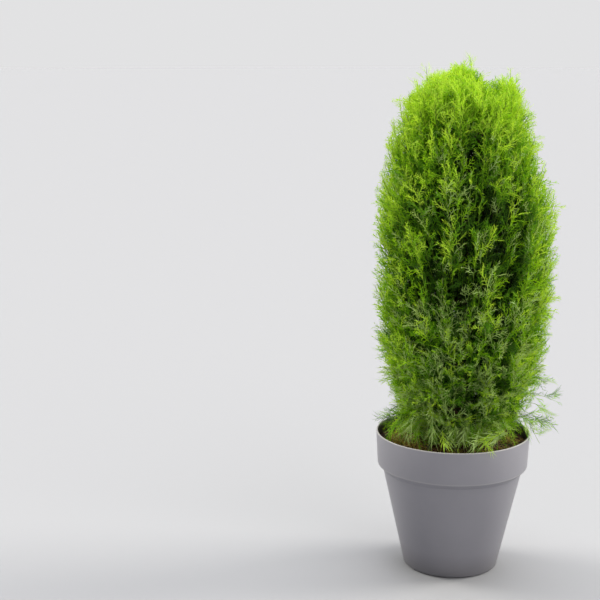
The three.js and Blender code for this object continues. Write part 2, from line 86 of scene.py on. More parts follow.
# Trunk and the boughs that run up beside it.
COMPOST_LEVEL = 256.0
TRUNK_FOOT_RADIUS = 13.0
TRUNK_TIP_RADIUS = 4.0
TRUNK_TIP = 880.0
TRUNK_BELOW_CUT = 12.0
TRUNK_SWAY = 4.0
TRUNK_SWAYS_ACROSS = 9.0
TRUNK_SWAYS_ALONG = 7.0
TRUNK_POINTS = 9
ROOT_FLARE = 9.0
ROOT_FLARE_HEIGHT = 22.0
BOUGHS = (
    {"name": "bough_right", "azimuth": -4, "leaves": 325, "ends": 820, "radius": 6.5},
    {"name": "bough_front", "azimuth": -96, "leaves": 360, "ends": 750, "radius": 6.0},
    {"name": "bough_left", "azimuth": 168, "leaves": 395, "ends": 790, "radius": 6.0},
    {"name": "bough_back", "azimuth": 84, "leaves": 430, "ends": 770, "radius": 5.5},
)
BOUGH_STAND_OFF = 25.0
BOUGH_SWING = 2.5
BOUGH_POINTS = (0.0, 0.2, 0.4, 0.7, 1.0)
BOUGH_TIP_RADIUS = 3.0

# Tiers of masses, by the flow heights between which their branches leave the trunk.
TIERS = (
    {"name": "skirt", "from": 262, "to": 326, "count": 6, "turn": 0.0, "inner": 34},
    {"name": "low", "from": 326, "to": 408, "count": 6, "turn": 0.5, "inner": 34},
    {"name": "middle", "from": 408, "to": 500, "count": 6, "turn": 0.25, "inner": 34},
    {"name": "upper", "from": 500, "to": 605, "count": 6, "turn": 0.7, "inner": 32},
    {"name": "shoulder", "from": 605, "to": 720, "count": 5, "turn": 0.15, "inner": 30},
    {"name": "crest", "from": 720, "to": 832, "count": 4, "turn": 0.55, "inner": 34},
    {"name": "top", "from": 832, "to": 876, "count": 4, "turn": 0.05, "inner": 42},
)
STEM_RADIUS = 3.2
STEM_TAPER = 0.5
STEM_STAGGER = 0.3
STEM_INSIDE = 0.6
STEM_DROP = 12.0
STEM_DROP_WEIGHT = 3.0
CORE_INSET = 8.0
ANCHOR_STEPS = 50
LEADER = {"foot": 850.0, "top": 1003.0, "radius": 40.0, "core_top": 955.0, "root_radius": 6.0}
GOLDEN_TURN = 2.39996

# Kinds of spray: those of the crown, coarser ones deep in its shade, then the slender ones and the fans of
# the lone shoots. A thread's width, a branchlet's reach and the length from which it forks are shares of the
# spray's length, and angles are in degrees.
CROWN_SPRAY = {
    "branchlets": 9,
    "reach": 0.46,
    "forks_from": 0.2,
    "angles": (38, 66),
    "turns": (-75, 15),
    "lift": 0.55,
}
SPRAY_KINDS = {
    "crown": {**CROWN_SPRAY, "forms": 8, "thread": 0.042},
    "shade": {**CROWN_SPRAY, "forms": 3, "thread": 0.06, "branchlets": 6, "forks_from": 1.0},
    "slender": {**CROWN_SPRAY, "forms": 4, "thread": 0.03},
    "fan": {
        "forms": 3,
        "thread": 0.024,
        "branchlets": 15,
        "reach": 0.8,
        "forks_from": 1.0,
        "angles": (16, 40),
        "turns": (-25, 12),
        "lift": 0.3,
    },
}
# No sprays grow nearer to the crown's middle than a share of its radius: two heights and the share at each.
BARE_INSIDE = ((620, 760), (0.5, 0.4))

# Dip between the leader and the second peak beside it, in millimetres.
PEAK_DIP = {"x": 52, "across": 22, "along": 80, "depth": 56}
# How far the plumes of the top stay below the outline, by what share of its rise they stay below it on the
# side of the second peak, and how far the leader's plumes stay below its top.
PEAK_DROP = 15
SIDE_PEAK_DROP = 0.6
LEADER_DROP = 47
# Lone thin shoots at the very top: x, y and height of the tip.
TOP_WISPS = (
    (17, 0, 994), (2, -14, 976), (-8, 14, 972), (-18, 6, 968), (27, 12, 966), (34, -20, 952), (44, -6, 940),
    (-66, -5, 978), (-54, 16, 964), (-44, -30, 964), (-31, 10, 966), (-82, 8, 952), (-98, -10, 932),
    (-112, 20, 914), (-124, 6, 876), (-130, -14, 848), (62, 4, 946), (77, -8, 948), (92, 0, 974),
    (84, -14, 950), (101, -10, 956), (112, -14, 926), (128, 4, 896), (-40, 60, 956), (-26, -72, 950),
    (74, 62, 940),
)

# The crown is a little slimmer than its outline high up on the +X side and low down on the -X side: azimuth
# and spread in radians, share of the radius, height where it begins and millimetres to its full amount.
TRIMS = ((0.0, 0.6, 0.09, 710, 120), (math.pi, 0.9, 0.08, 450, -60))

# Lone shoots low on the crown: azimuth in degrees, radius and height of the tip, and the arch above a
# straight line.
LONE_SHOOTS = (
    (-6, 186, 338, 10), (9, 187, 304, 16), (-16, 170, 384, 4), (22, 162, 326, 12), (-27, 158, 302, 18),
    (-20, 168, 263, 34), (-12, 172, 290, 22), (15, 172, 362, 8), (180, 142, 434, 4), (186, 118, 314, 14),
    (171, 142, 372, 8), (196, 156, 452, 2),
)
# Shoots of the skirt that hang over the compost all round it, and those that reach towards the rim in front
# and on the left, in rows like those of the lone shoots.
HANGING_SHOOTS = 26
HANGING = {"radii": (98, 140), "heights": (262, 282), "arches": (22, 44)}
RIM_SHOOTS = (
    (-97, 150, 277, 36), (-74, 151, 276, 34), (-86, 138, 270, 30), (-60, 146, 280, 32),
    (-118, 128, 266, 30), (-130, 138, 268, 34), (-142, 134, 266, 30), (-152, 141, 272, 30),
    (-163, 136, 270, 26), (-174, 140, 274, 24), (172, 136, 276, 20),
)

# Single larger sprays in front that hang over the compost and the rim: the point each grows from, the point
# it heads for, how far it bows down as a share of its length, and its tint.
FRONT_SPRAYS = (
    ((90, -112, 300), (24, -140, 288), 0.1, "foliage_old"),
    ((84, -110, 304), (45, -139, 294), 0.06, "foliage_lime"),
    ((62, -110, 303), (36, -142, 295), 0.08, "foliage_lime"),
    ((36, -110, 302), (27, -154, 296), 0.2, "foliage_old"),
    ((-32, -108, 304), (-42, -154, 296), 0.26, "foliage_lime"),
    ((-18, -104, 318), (-30, -142, 290), 0.2, "foliage_old"),
    ((14, -104, 330), (2, -138, 294), 0.2, "foliage_old"),
    ((-50, -96, 334), (-61, -130, 294), 0.2, "foliage_old"),
    ((-84, -78, 322), (-108, -92, 286), 0.2, "foliage_old"),
    ((-104, -40, 318), (-134, -52, 280), 0.2, "foliage_fresh"),
    ((112, -62, 318), (140, -82, 290), 0.25, "foliage_green"),
)

# Where the crown stands fuller than the noise of its clefts gives, and its single clefts between the plumes:
# azimuth in degrees, height, half the width in degrees, half the height and depth as a share of the radius.
FULLER = (-86, 515, 14, 95, 0.2)
CLEFTS = (
    (-88, 860, 8, 50, 0.22), (-79, 775, 8, 60, 0.19), (-70, 690, 7, 60, 0.22), (-118, 735, 5, 80, 0.24),
    (-55, 665, 5, 60, 0.22), (-104, 600, 5, 50, 0.22), (-88, 372, 8, 26, 0.42), (-135, 560, 6, 80, 0.18),
    (-38, 520, 6, 70, 0.18),
)

# Clefts that noise gives: width and height of its cells, the strength from which and over which they deepen,
# their depth as a share of the radius, and the share of it that is left on the crown's flanks.
CLEFT_NOISE = {"wide": 34.0, "tall": 120.0, "from": 0.12, "over": 0.3, "depth": 0.23, "flanks": 0.3}

# A spray's axis and branchlets: how far the axis waves, where its branchlets stand, how much they vary in
# place and reach, how far a strip may tilt out of the flat, and the angles and reach of the forks.
AXIS_WAVE = 0.08
BRANCHLETS_FROM = 0.08
BRANCHLETS_OVER = 0.84
BRANCHLET_SHIFT = 0.3
BRANCHLET_VARIES = (0.7, 1.25)
STRIP_TILT = 1.2
FORK_ANGLES = (30, 55)
FORK_REACH = (0.28, 0.45)

# Plumes: steps that spread them evenly across and along a mass, the share of its width that they take, the
# part of the stem that they start from, the share of the outline at which they end, and by how much the root
# of each lies lower in its tier. Then the share of a plume's radius at its root and body.
EVEN_STEPS = (0.7549, 0.5698)
MASS_WIDTH = 0.97
PLUME_STARTS = (0.35, 1.0)
PLUME_ENDS = {"from": 0.91, "to": 1.01, "shorter_in_front": 0.07}
PLUME_ROOT_LOWER = 0.3
PLUME_ROOT = 0.5
PLUME_BODY = 0.78
# Plumes that stand up into the top: how far out they go, how unevenly they end, the millimetres below the tip
# and the share of the tip's radius of their root, body and tip, and the area of their sides.
TOP_SPREAD = 100.0
TOP_UNEVEN = 16
UPRIGHT_KNOTS = ((88, 0.85), (42, 0.97), (0, 1.0))
TOP_SIDES = 10800.0
LEADER_PLUMES = 26
LEADER_RISE = (56, 80)
WISP_LENGTH = 110
# Points along the curve of a plume and of a stem.
CURVE_STEPS = 13
STEM_STEPS = 10

# Sprays on a plume: the shares of its length at which the first and the last stand, how they crowd towards
# the tip, their angles to the plume, how far their side turns, how much smaller they are at the tip, how much
# they vary, and how far they may reach beyond the plume's tip.
FIRST_SPRAY = 0.3
LAST_SPRAY = 0.985
SPRAY_CROWDING = 0.8
SPRAY_ANGLES = (0.35, 1.15)
SPRAY_TURN = 0.35
SPRAY_FLAT_VARIES = 0.45
SPRAY_TAPER = 0.42
SPRAY_VARIES = (0.75, 1.15)
SPRAY_BEYOND = (4, 18)
SPRAY_BEND = 0.26
SPRAY_SWEEP = 0.24
# Points of a spray, along and across it, that stay clear of the pot.
PROBES = ((0.3, 0), (0.65, 0), (1, 0), (0.6, 0.3), (0.6, -0.3), (0.85, 0.3), (0.85, -0.3))
# The share of the lone shoots' sprays that is kept, and the smaller one over the compost on the left.
KEPT_SPRAYS = 0.48
KEPT_ON_LEFT = 0.22
# How much the sprays of the lone shoots and of the hanging ones turn upwards.
LONE_SHOOT_PULL = 0.05
HANGING_PULL = -0.3
# How uneven the crown's outline is and, for a few wisps, their share and how far they reach beyond it, as
# shares of its radius.
UNEVEN_OUTLINE = 0.025
WISPS = 0.03
WISP_REACH = 0.05
# The most triangles of one piece.
MOST_TRIANGLES = 200000

# Radii in millimetres and sides of the tubes of stems and twigs, and rings and sides of the limbs. The trunk
# stands a little above the compost's level.
TWIG_RADII = (1.7, 0.5)
TWIG_SIDES = 3
STEM_SIDES = 7
LIMB_SIDES = 22
TRUNK_RINGS = 90
BOUGH_RINGS = 50
TRUNK_SEAT = 0.3

# Foliage colours, lit and shaded copies of one leaf that paint shade into the crown's inside and light onto
# its sunlit tips: a leaf's colour and that of the light through it. The share of the sprays that each tint
# takes, apart from the old ones, which are the last.
TINTS = (
    ("foliage_inner", "#121E07", "#1C3008"),
    ("foliage_shaded", "#253F10", "#3C6210"),
    ("foliage_deep", "#40681A", "#689C16"),
    ("foliage_green", "#5C8E1C", "#8EC818"),
    ("foliage_fresh", "#82B020", "#B4E41C"),
    ("foliage_lime", "#AACC3E", "#D2F434"),
    ("foliage_old", "#A0BC6A", "#B4CC5C"),
)
TINT_SHARES = (0.14, 0.17, 0.15, 0.18, 0.18, 0.18)
LEAF_GLOSS = 0.14
OLD_GLOSS = 0.5
# A spray's tint follows its depth in millimetres, as painted shade, its height, as painted light at the top,
# a slow drift and chance. The pale old ones, partly old growth and partly painted highlights, are commoner
# low down and in front, on the shaded side, where the painted shade also deepens faster with depth.
TINT_RULE = {
    "depth": 14.0,
    "foot": 260,
    "height": 740,
    "rise": 1.3,
    "drift": 0.9,
    "drift_size": 60.0,
    "chance": 0.75,
}
SHADED_SIDE = {"steeper": 2.5, "paler": 0.12, "highlight_share": 0.28, "below": 900}
OLD_AND_HIGHLIT_SPRAYS = {"below": 640, "over": 340, "share": 0.36}
# How deep the outermost sprays go, in front and elsewhere, and the height above which they are all pale.
SKIN = {"front": 9, "elsewhere": 28, "pale_above": 925}
# How deep in the crown low lone shoots seem to stand.
LOW_SHOOT_DEPTHS = (4, 34)

# The compost's bed, its crumbs, in metres, and the fallen sprays on it, in millimetres.
BED = {"radius": 0.1452, "rings": 64, "sides": 176, "foot_radius": 0.1425, "depth": 0.045}
CRUMBS = {"within": 0.141, "sizes": (0.0012, 0.0034)}
FALLEN = {"within": 134, "tips_within": 137, "above": 1.8, "lengths": (16, 38)}

# Azimuth and elevation that each light shines from and its soft edge in degrees, its strength and its colour.
LAMPS = (
    ("front_fill", -48, 36, 50, 1.3, "#FFFBF5"),
    ("left_rim", 155, 34, 26, 2.8, "#FFFBEF"),
    ("right_rim", 12, 34, 26, 3.4, "#FFFBEF"),
    ("overhead", 80, 80, 40, 2.95, "#FFFFFF"),
)


def linear(hex_colour):
    """An sRGB hex colour as linear red, green and blue."""
    parts = [int(hex_colour[i : i + 2], 16) / 255 for i in (1, 3, 5)]
    return tuple(p / 12.92 if p <= 0.04045 else ((p + 0.055) / 1.055) ** 2.4 for p in parts)


# Growth rule


def side_lift(azimuth):
    return SIDE_PEAK * np.exp(-((azimuth / SIDE_PEAK_SPREAD) ** 2))


def top_lift(azimuth):
    """How much higher than its middle the crown's top stands on the side of an azimuth."""
    from_far = (math.pi - np.abs(azimuth)) / FAR_DROP_SPREAD
    return side_lift(azimuth) - FAR_DROP * np.exp(-(from_far**2))


def off_middle(height, lift=0.0):
    """How far a height lies from the crown's middle, as a share of the crown's reach up or down."""
    return np.abs(height - CROWN_MIDDLE) / np.where(height > CROWN_MIDDLE, CROWN_ABOVE + lift, CROWN_BELOW)


def outline_radius(height, azimuth):
    """Half the crown's width at a height, on the side of an azimuth."""
    share = np.minimum(1.0, off_middle(height, top_lift(azimuth)))
    return CROWN_RADIUS * np.sqrt(1 - share**CROWN_ROUNDNESS)


def outline_height(radius, azimuth):
    """The height at which the top of the outline narrows to a radius."""
    narrow = (1 - (radius / CROWN_RADIUS) ** CROWN_ROUNDNESS) ** (1 / CROWN_ROUNDNESS)
    return CROWN_MIDDLE + (CROWN_ABOVE + top_lift(azimuth)) * narrow


def centre_line(height):
    height = np.asarray(height, dtype=float)
    share = np.minimum(1.0, off_middle(height))
    return np.stack((CROWN_SHIFT * (1 - share**2), np.zeros_like(height), height), axis=-1)


def flow_height(flow, radius):
    rise = radius * (EARLY_RISE + LATE_RISE * (radius / CROWN_RADIUS) ** 2)
    return flow + (CLIMB_AT_FOOT + CLIMB_PER_MILLIMETRE * (flow - FLOW_FOOT)) * rise


def aside(azimuth):
    azimuth = np.asarray(azimuth, dtype=float)
    return np.stack((np.cos(azimuth), np.sin(azimuth), np.zeros_like(azimuth)), axis=-1)


def round_centre(points):
    """The azimuth and the radius of points about the crown's centre line."""
    out = points - centre_line(points[:, 2])
    return np.arctan2(out[:, 1], out[:, 0]), np.hypot(out[:, 0], out[:, 1])


def flow_point(azimuth, flow, radius):
    """The point at a radius along the branch that leaves the trunk at the height flow."""
    return centre_line(flow_height(flow, radius)) + aside(azimuth) * np.asarray(radius)[..., None]


def flow_reach(azimuth, flow):
    """The radius at which a branch meets the crown's outline."""
    azimuth, flow = np.broadcast_arrays(azimuth, flow)
    inside = np.zeros(azimuth.shape)
    outside = np.full(azimuth.shape, CROWN_RADIUS)
    top = CROWN_MIDDLE + CROWN_ABOVE + SIDE_PEAK
    for _ in range(20):
        middle = (inside + outside) / 2
        height = flow_height(flow, middle)
        within = (height < top) & (middle < outline_radius(height, azimuth))
        inside = np.where(within, middle, inside)
        outside = np.where(within, outside, middle)
    return inside


def unit(vectors):
    return vectors / np.maximum(np.linalg.norm(vectors, axis=-1, keepdims=True), 1e-9)


class SmoothLine:
    """A centripetal curve through points, read by a share of its length from 0 to 1."""

    def __init__(self, points):
        points = np.array(points, dtype=float)
        before = 2 * points[0] - points[1]
        after = 2 * points[-1] - points[-2]
        self.points = np.vstack((before, points, after))
        self.spans = len(points) - 1

    def at(self, share):
        place = min(max(share, 0.0), 1.0) * self.spans
        span = min(int(place), self.spans - 1)
        t = place - span
        p0, p1, p2, p3 = self.points[span : span + 4]
        d0, d1, d2 = (np.sqrt(np.linalg.norm(b - a)) for a, b in ((p0, p1), (p1, p2), (p2, p3)))
        t1 = ((p1 - p0) / d0 - (p2 - p0) / (d0 + d1) + (p2 - p1) / d1) * d1
        t2 = ((p2 - p1) / d1 - (p3 - p1) / (d1 + d2) + (p3 - p2) / d2) * d1
        third = 2 * p1 - 2 * p2 + t1 + t2
        second = -3 * p1 + 3 * p2 - 2 * t1 - t2
        return p1 + t * (t1 + t * (second + t * third))


def trunk_line():
    foot = COMPOST_LEVEL - TRUNK_BELOW_CUT
    share = np.linspace(0, 1, TRUNK_POINTS)
    points = centre_line(foot + (TRUNK_TIP - foot) * share)
    points[:, 0] += TRUNK_SWAY * np.sin(TRUNK_SWAYS_ACROSS * share)
    points[:, 1] += TRUNK_SWAY * np.sin(TRUNK_SWAYS_ALONG * share)
    return SmoothLine(points)


def trunk_radius(share):
    height = (TRUNK_TIP - COMPOST_LEVEL + TRUNK_BELOW_CUT) * share - TRUNK_BELOW_CUT
    taper = TRUNK_FOOT_RADIUS + (TRUNK_TIP_RADIUS - TRUNK_FOOT_RADIUS) * share
    return taper + ROOT_FLARE * math.exp(-height / ROOT_FLARE_HEIGHT)


def bough_line(bough, trunk):
    """A bough leaves the trunk, swings out to its stand-off and then runs up beside it."""
    foot = COMPOST_LEVEL - TRUNK_BELOW_CUT
    points = []
    for share in BOUGH_POINTS:
        off = BOUGH_STAND_OFF * math.sin(math.pi / 2 * min(1.0, share * BOUGH_SWING))
        height = bough["leaves"] + (bough["ends"] - bough["leaves"]) * share
        middle = trunk.at((height - foot) / (TRUNK_TIP - foot))
        points.append(middle + off * aside(math.radians(bough["azimuth"])))
    return SmoothLine(points)


def limbs():
    """The name, line and radius of the trunk and of each bough."""
    trunk = trunk_line()
    found = [("trunk", trunk, trunk_radius)]
    for bough in BOUGHS:

        def radius(share, foot_radius=bough["radius"]):
            return foot_radius + (BOUGH_TIP_RADIUS - foot_radius) * share

        found.append((bough["name"], bough_line(bough, trunk), radius))
    return found


def spaces():
    """The space that each mass keeps to."""
    found = []
    for tier in TIERS:
        half_turn = math.pi / tier["count"]
        for i in range(tier["count"]):
            turn = 2 * half_turn * (i + tier["turn"])
            azimuth = math.atan2(math.sin(turn), math.cos(turn))
            stagger = STEM_STAGGER * (i % 3 - 1)
            found.append({**tier, "azimuth": azimuth, "half_turn": half_turn, "stagger": stagger})
    return found


def anchor_for(lines, point):
    """The point of the limbs nearest to where a mass's stem begins, a little lower than it."""
    steps = range(2, ANCHOR_STEPS - 1)
    candidates = np.array([line.at(step / ANCHOR_STEPS) for line in lines for step in steps])
    high = np.maximum(0.0, candidates[:, 2] + STEM_DROP - point[2])
    away = np.linalg.norm(candidates - point, axis=1) + STEM_DROP_WEIGHT * high
    return candidates[np.argmin(away)]


def stem_points(space, lines, shares):
    """Points along a mass's stem, from its limb to well inside the mass."""
    middle = (space["from"] + space["to"]) / 2
    start_flow = middle + space["stagger"] * (space["to"] - space["from"])
    azimuth = space["azimuth"]
    inside = max(STEM_INSIDE * float(flow_reach(azimuth, middle)), space["inner"] + 2 * CORE_INSET)
    start = anchor_for(lines, flow_point(azimuth, start_flow, space["inner"]))
    bend = flow_point(azimuth, middle, space["inner"] + CORE_INSET)
    end = flow_point(azimuth, middle, inside)
    t = np.asarray(shares)[:, None]
    return (1 - t) ** 2 * start + 2 * t * (1 - t) * bend + t**2 * end


# Meshes


def mesh_object(name, mesh, material):
    mesh.name = name
    mesh.materials.append(material)
    obj = bpy.data.objects.new(name, mesh)
    bpy.context.scene.collection.objects.link(obj)
    return obj


def dress(name, mesh, material, slot, *nodes):
    """A piece that rides with the pot in the material given, and hides the nodes that it stands for.

    The argument slot is not used.
    """
    piece = mesh_object(name, mesh, material)
    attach(piece, "root")
    if nodes:
        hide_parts(*nodes)


def joined_mesh(parts):
    """One mesh from parts, each an array of corners in millimetres and one of triangles."""
    firsts = np.cumsum([0] + [len(corners) for corners, _ in parts])
    corners = np.concatenate([corners for corners, _ in parts])
    triangles = np.concatenate([part + first for (_, part), first in zip(parts, firsts)])
    if len(triangles) >= MOST_TRIANGLES:
        raise RuntimeError(f"{len(triangles)} triangles are over the limit of one piece")
    mesh = bpy.data.meshes.new("joined")
    mesh.vertices.add(len(corners))
    mesh.vertices.foreach_set("co", (corners * MILLIMETRE).astype(np.float32).ravel())
    mesh.loops.add(triangles.size)
    mesh.loops.foreach_set("vertex_index", triangles.astype(np.int32).ravel())
    mesh.polygons.add(len(triangles))
    mesh.polygons.foreach_set("loop_start", np.arange(0, triangles.size, 3, dtype=np.int32))
    mesh.update(calc_edges=True)
    return mesh


def spun(profile, steps):
    """A bmesh spun round the middle from a profile of radii and heights."""
    bm = bmesh.new()
    corners = [bm.verts.new((radius, 0, height)) for radius, height in profile]
    edges = [bm.edges.new(pair) for pair in zip(corners, corners[1:])]
    bmesh.ops.spin(
        bm, geom=corners + edges, axis=(0, 0, 1), cent=(0, 0, 0), angle=TURN, steps=steps, use_merge=True
    )
    return bm


def finished_mesh(bm, smooth=True):
    bmesh.ops.remove_doubles(bm, verts=bm.verts, dist=1e-6)
    bmesh.ops.recalc_face_normals(bm, faces=bm.faces)
    mesh = bpy.data.meshes.new("finished")
    bm.to_mesh(mesh)
    bm.free()
    if smooth:
        mesh.shade_smooth()
    return mesh


def tubes(lines, radii, sides):
    """Closed round tubes along many lines at once: lines is (n, k, 3) and radii (n, k)."""
    count, steps, _ = lines.shape
    along = unit(np.gradient(lines, axis=1))
    start = np.where(np.abs(along[..., 2:]) > 0.9, np.array((1.0, 0, 0)), UP)
    across = unit(np.cross(along, start))
    over = np.cross(across, along)
    angle = np.arange(sides)[:, None] * TURN / sides
    ring = across[:, :, None] * np.cos(angle) + over[:, :, None] * np.sin(angle)
    corners = lines[:, :, None] + ring * radii[:, :, None, None]
    number = np.arange(count * steps * sides).reshape(count, steps, sides)
    near, far = number[:, :-1], number[:, 1:]
    near_next, far_next = np.roll(near, -1, axis=2), np.roll(far, -1, axis=2)
    halves = ((near, far, near_next), (near_next, far, far_next))
    faces = [np.stack(half, -1).reshape(-1, 3) for half in halves]
    for i in range(1, sides - 1):
        for end, a, b in ((0, i, i + 1), (-1, i + 1, i)):
            faces.append(np.stack((number[:, end, 0], number[:, end, a], number[:, end, b]), -1))
    return corners.reshape(-1, 3), np.concatenate(faces)


# Materials


def add_node(tree, kind, inputs=None, **settings):
    """A node with its settings.

    An input is a value, an output that it is linked to, or a node, whose first working output is linked.
    A colour is given as red, green and blue.
    """
    made = tree.nodes.new(f"ShaderNode{kind}")
    for name, value in settings.items():
        setattr(made, name, value)
    for name, value in (inputs or {}).items():
        if isinstance(value, bpy.types.Node):
            value = next(output for output in value.outputs if output.enabled)
        if isinstance(value, bpy.types.NodeSocket):
            tree.links.new(value, made.inputs[name])
        elif made.inputs[name].type == "RGBA":
            made.inputs[name].default_value = (*value, 1.0)
        else:
            made.inputs[name].default_value = value
    return made


def made_material(name, recipe, *values):
    """A material by one of the recipes below, each of which adds its nodes and returns the surface's."""
    material = bpy.data.materials.new(name)
    material.use_nodes = True
    tree = material.node_tree
    tree.nodes.clear()
    add_node(tree, "OutputMaterial", {"Surface": recipe(partial(add_node, tree), *values)})
    return material


def moulded_polypropylene(node, colour):
    """Injection-moulded plastic: satin, with a faint spark-eroded grain and slightly uneven gloss."""
    place = node("TexCoord").outputs["Object"]
    # Mould grain is about 0.3 mm: drawn at 1.2 mm, so that it shows.
    grain = node("TexNoise", {"Vector": place, "Scale": 850.0, "Detail": 3.0})
    flow_marks = node("TexNoise", {"Vector": place, "Scale": 14.0, "Detail": 4.0, "Roughness": 0.6})
    rough = node("MapRange", {"Value": flow_marks, "To Min": 0.4, "To Max": 0.54})
    darker, lighter = ([share * part for part in colour] for share in (0.93, 1.08))
    shade = node("Mix", {"Factor": flow_marks, "A": darker, "B": lighter}, data_type="RGBA")
    # The lowest 50 mm darken towards the bottom.
    height = node("SeparateXYZ", {"Vector": place}).outputs["Z"]
    darker_low_down = node(
        "MapRange", {"Value": height, "From Min": 0.0, "From Max": 0.05, "To Min": 0.35, "To Max": 0.0}
    )
    # Painted shade and wet soil's stain darken the inside of the collar, from the compost nearly to the lip.
    level = node("VectorMath", {0: place, 1: (1.0, 1.0, 0.0)}, operation="MULTIPLY")
    radius = node("VectorMath", {0: level}, operation="LENGTH")
    inside = node("MapRange", {"Value": radius, "From Min": 0.1482, "From Max": 0.1474})
    rim = POT_HIGH[2]
    low_down = node("MapRange", {"Value": height, "From Min": rim - 0.001, "From Max": rim - 0.008})
    above_soil = node("Math", {0: height, 1: COMPOST_TOP - 0.01}, operation="GREATER_THAN")
    within = node("Math", {0: inside, 1: low_down}, operation="MULTIPLY")
    stain_and_shade = node("Math", {0: within, 1: above_soil}, operation="MULTIPLY")
    # Painted highlights pale the lip's top and, less, the edge under the collar.
    lip = node("MapRange", {"Value": height, "From Min": rim - 0.0022, "From Max": rim - 0.0006})
    from_step = node("Math", {0: height, 1: STEP_HEIGHT}, operation="SUBTRACT")
    off_step = node("Math", {0: from_step}, operation="ABSOLUTE")
    step = node(
        "MapRange",
        {"Value": off_step, "From Min": 0.0004, "From Max": 0.0016, "To Min": 0.42, "To Max": 0.0},
    )
    painted_highlight = node("Math", {0: lip, 1: step}, operation="MAXIMUM")
    # Darker towards the bottom, painted shade and soil stain inside the collar, and painted highlights.
    for amount, over in ((darker_low_down, "#4A4644"), (stain_and_shade, "#2A2620"), (painted_highlight, "#A19F9F")):
        shade = node("Mix", {"Factor": amount, "A": shade, "B": linear(over)}, data_type="RGBA")
    bump = node("Bump", {"Height": grain, "Strength": 0.12, "Distance": 0.0004})
    return node("BsdfPrincipled", {"Base Color": shade, "Roughness": rough, "IOR": 1.49, "Normal": bump})


def in_two_colours(node, pattern, spread, colours, relief, strength, depth, dullness):
    """A dull surface that a pattern takes from one colour to another, with a relief."""
    share = node("MapRange", {"Value": pattern, "From Min": spread[0], "From Max": spread[1]})
    shade = node("Mix", {"Factor": share, "A": colours[0], "B": colours[1]}, data_type="RGBA")
    bump = node("Bump", {"Height": relief, "Strength": strength, "Distance": depth})
    return node("BsdfPrincipled", {"Base Color": shade, "Roughness": dullness, "Normal": bump})


def bark_compost(node, dark, light):
    """Moist milled bark and peat: near-black crumbs with redder fibres, dull all over."""
    place = node("TexCoord").outputs["Object"]
    # Crumbs are 2 to 6 mm across.
    crumbs = node("TexVoronoi", {"Vector": place, "Scale": 260.0, "Randomness": 1.0})
    patches = node("TexNoise", {"Vector": place, "Scale": 45.0, "Detail": 6.0})
    return in_two_colours(node, patches, (0.35, 0.7), (dark, light), crumbs, 0.6, 0.002, 0.92)


def fibrous_bark(node, dark, light):
    """Thin conifer bark: reddish strips that peel along the limb, dull, with paler weathered edges."""
    place = node("TexCoord").outputs["Object"]
    # Strips are about 2 mm wide and 25 mm long.
    lengthwise = node("Mapping", {"Vector": place, "Scale": (1.0, 1.0, 0.08)})
    strips = node("TexNoise", {"Vector": lengthwise, "Scale": 480.0, "Detail": 5.0, "Roughness": 0.65})
    return in_two_colours(node, strips, (0.35, 0.68), (dark, light), strips, 0.7, 0.0012, 0.85)


def scale_foliage(node, colour, glow, glow_share, gloss=LEAF_GLOSS):
    """Scale leaves: a thin wax gives a soft gloss, and light from behind comes through yellower."""
    leaf = node("BsdfPrincipled", {"Base Color": colour, "Roughness": 0.45, "Specular IOR Level": gloss})
    through = node("BsdfTranslucent", {"Color": glow})
    return node("MixShader", {0: glow_share, 1: leaf, 2: through})


def young_bark(node, colour):
    """Bark of young twigs: thin, brown, dull and too fine to show any relief."""
    return node("BsdfPrincipled", {"Base Color": colour, "Roughness": 0.8})


def matt_paint(node, colour):
    """A matt painted studio floor: even, with no gloss."""
    return node("BsdfPrincipled", {"Base Color": colour, "Roughness": 1.0, "Specular IOR Level": 0.0})


# Foliage


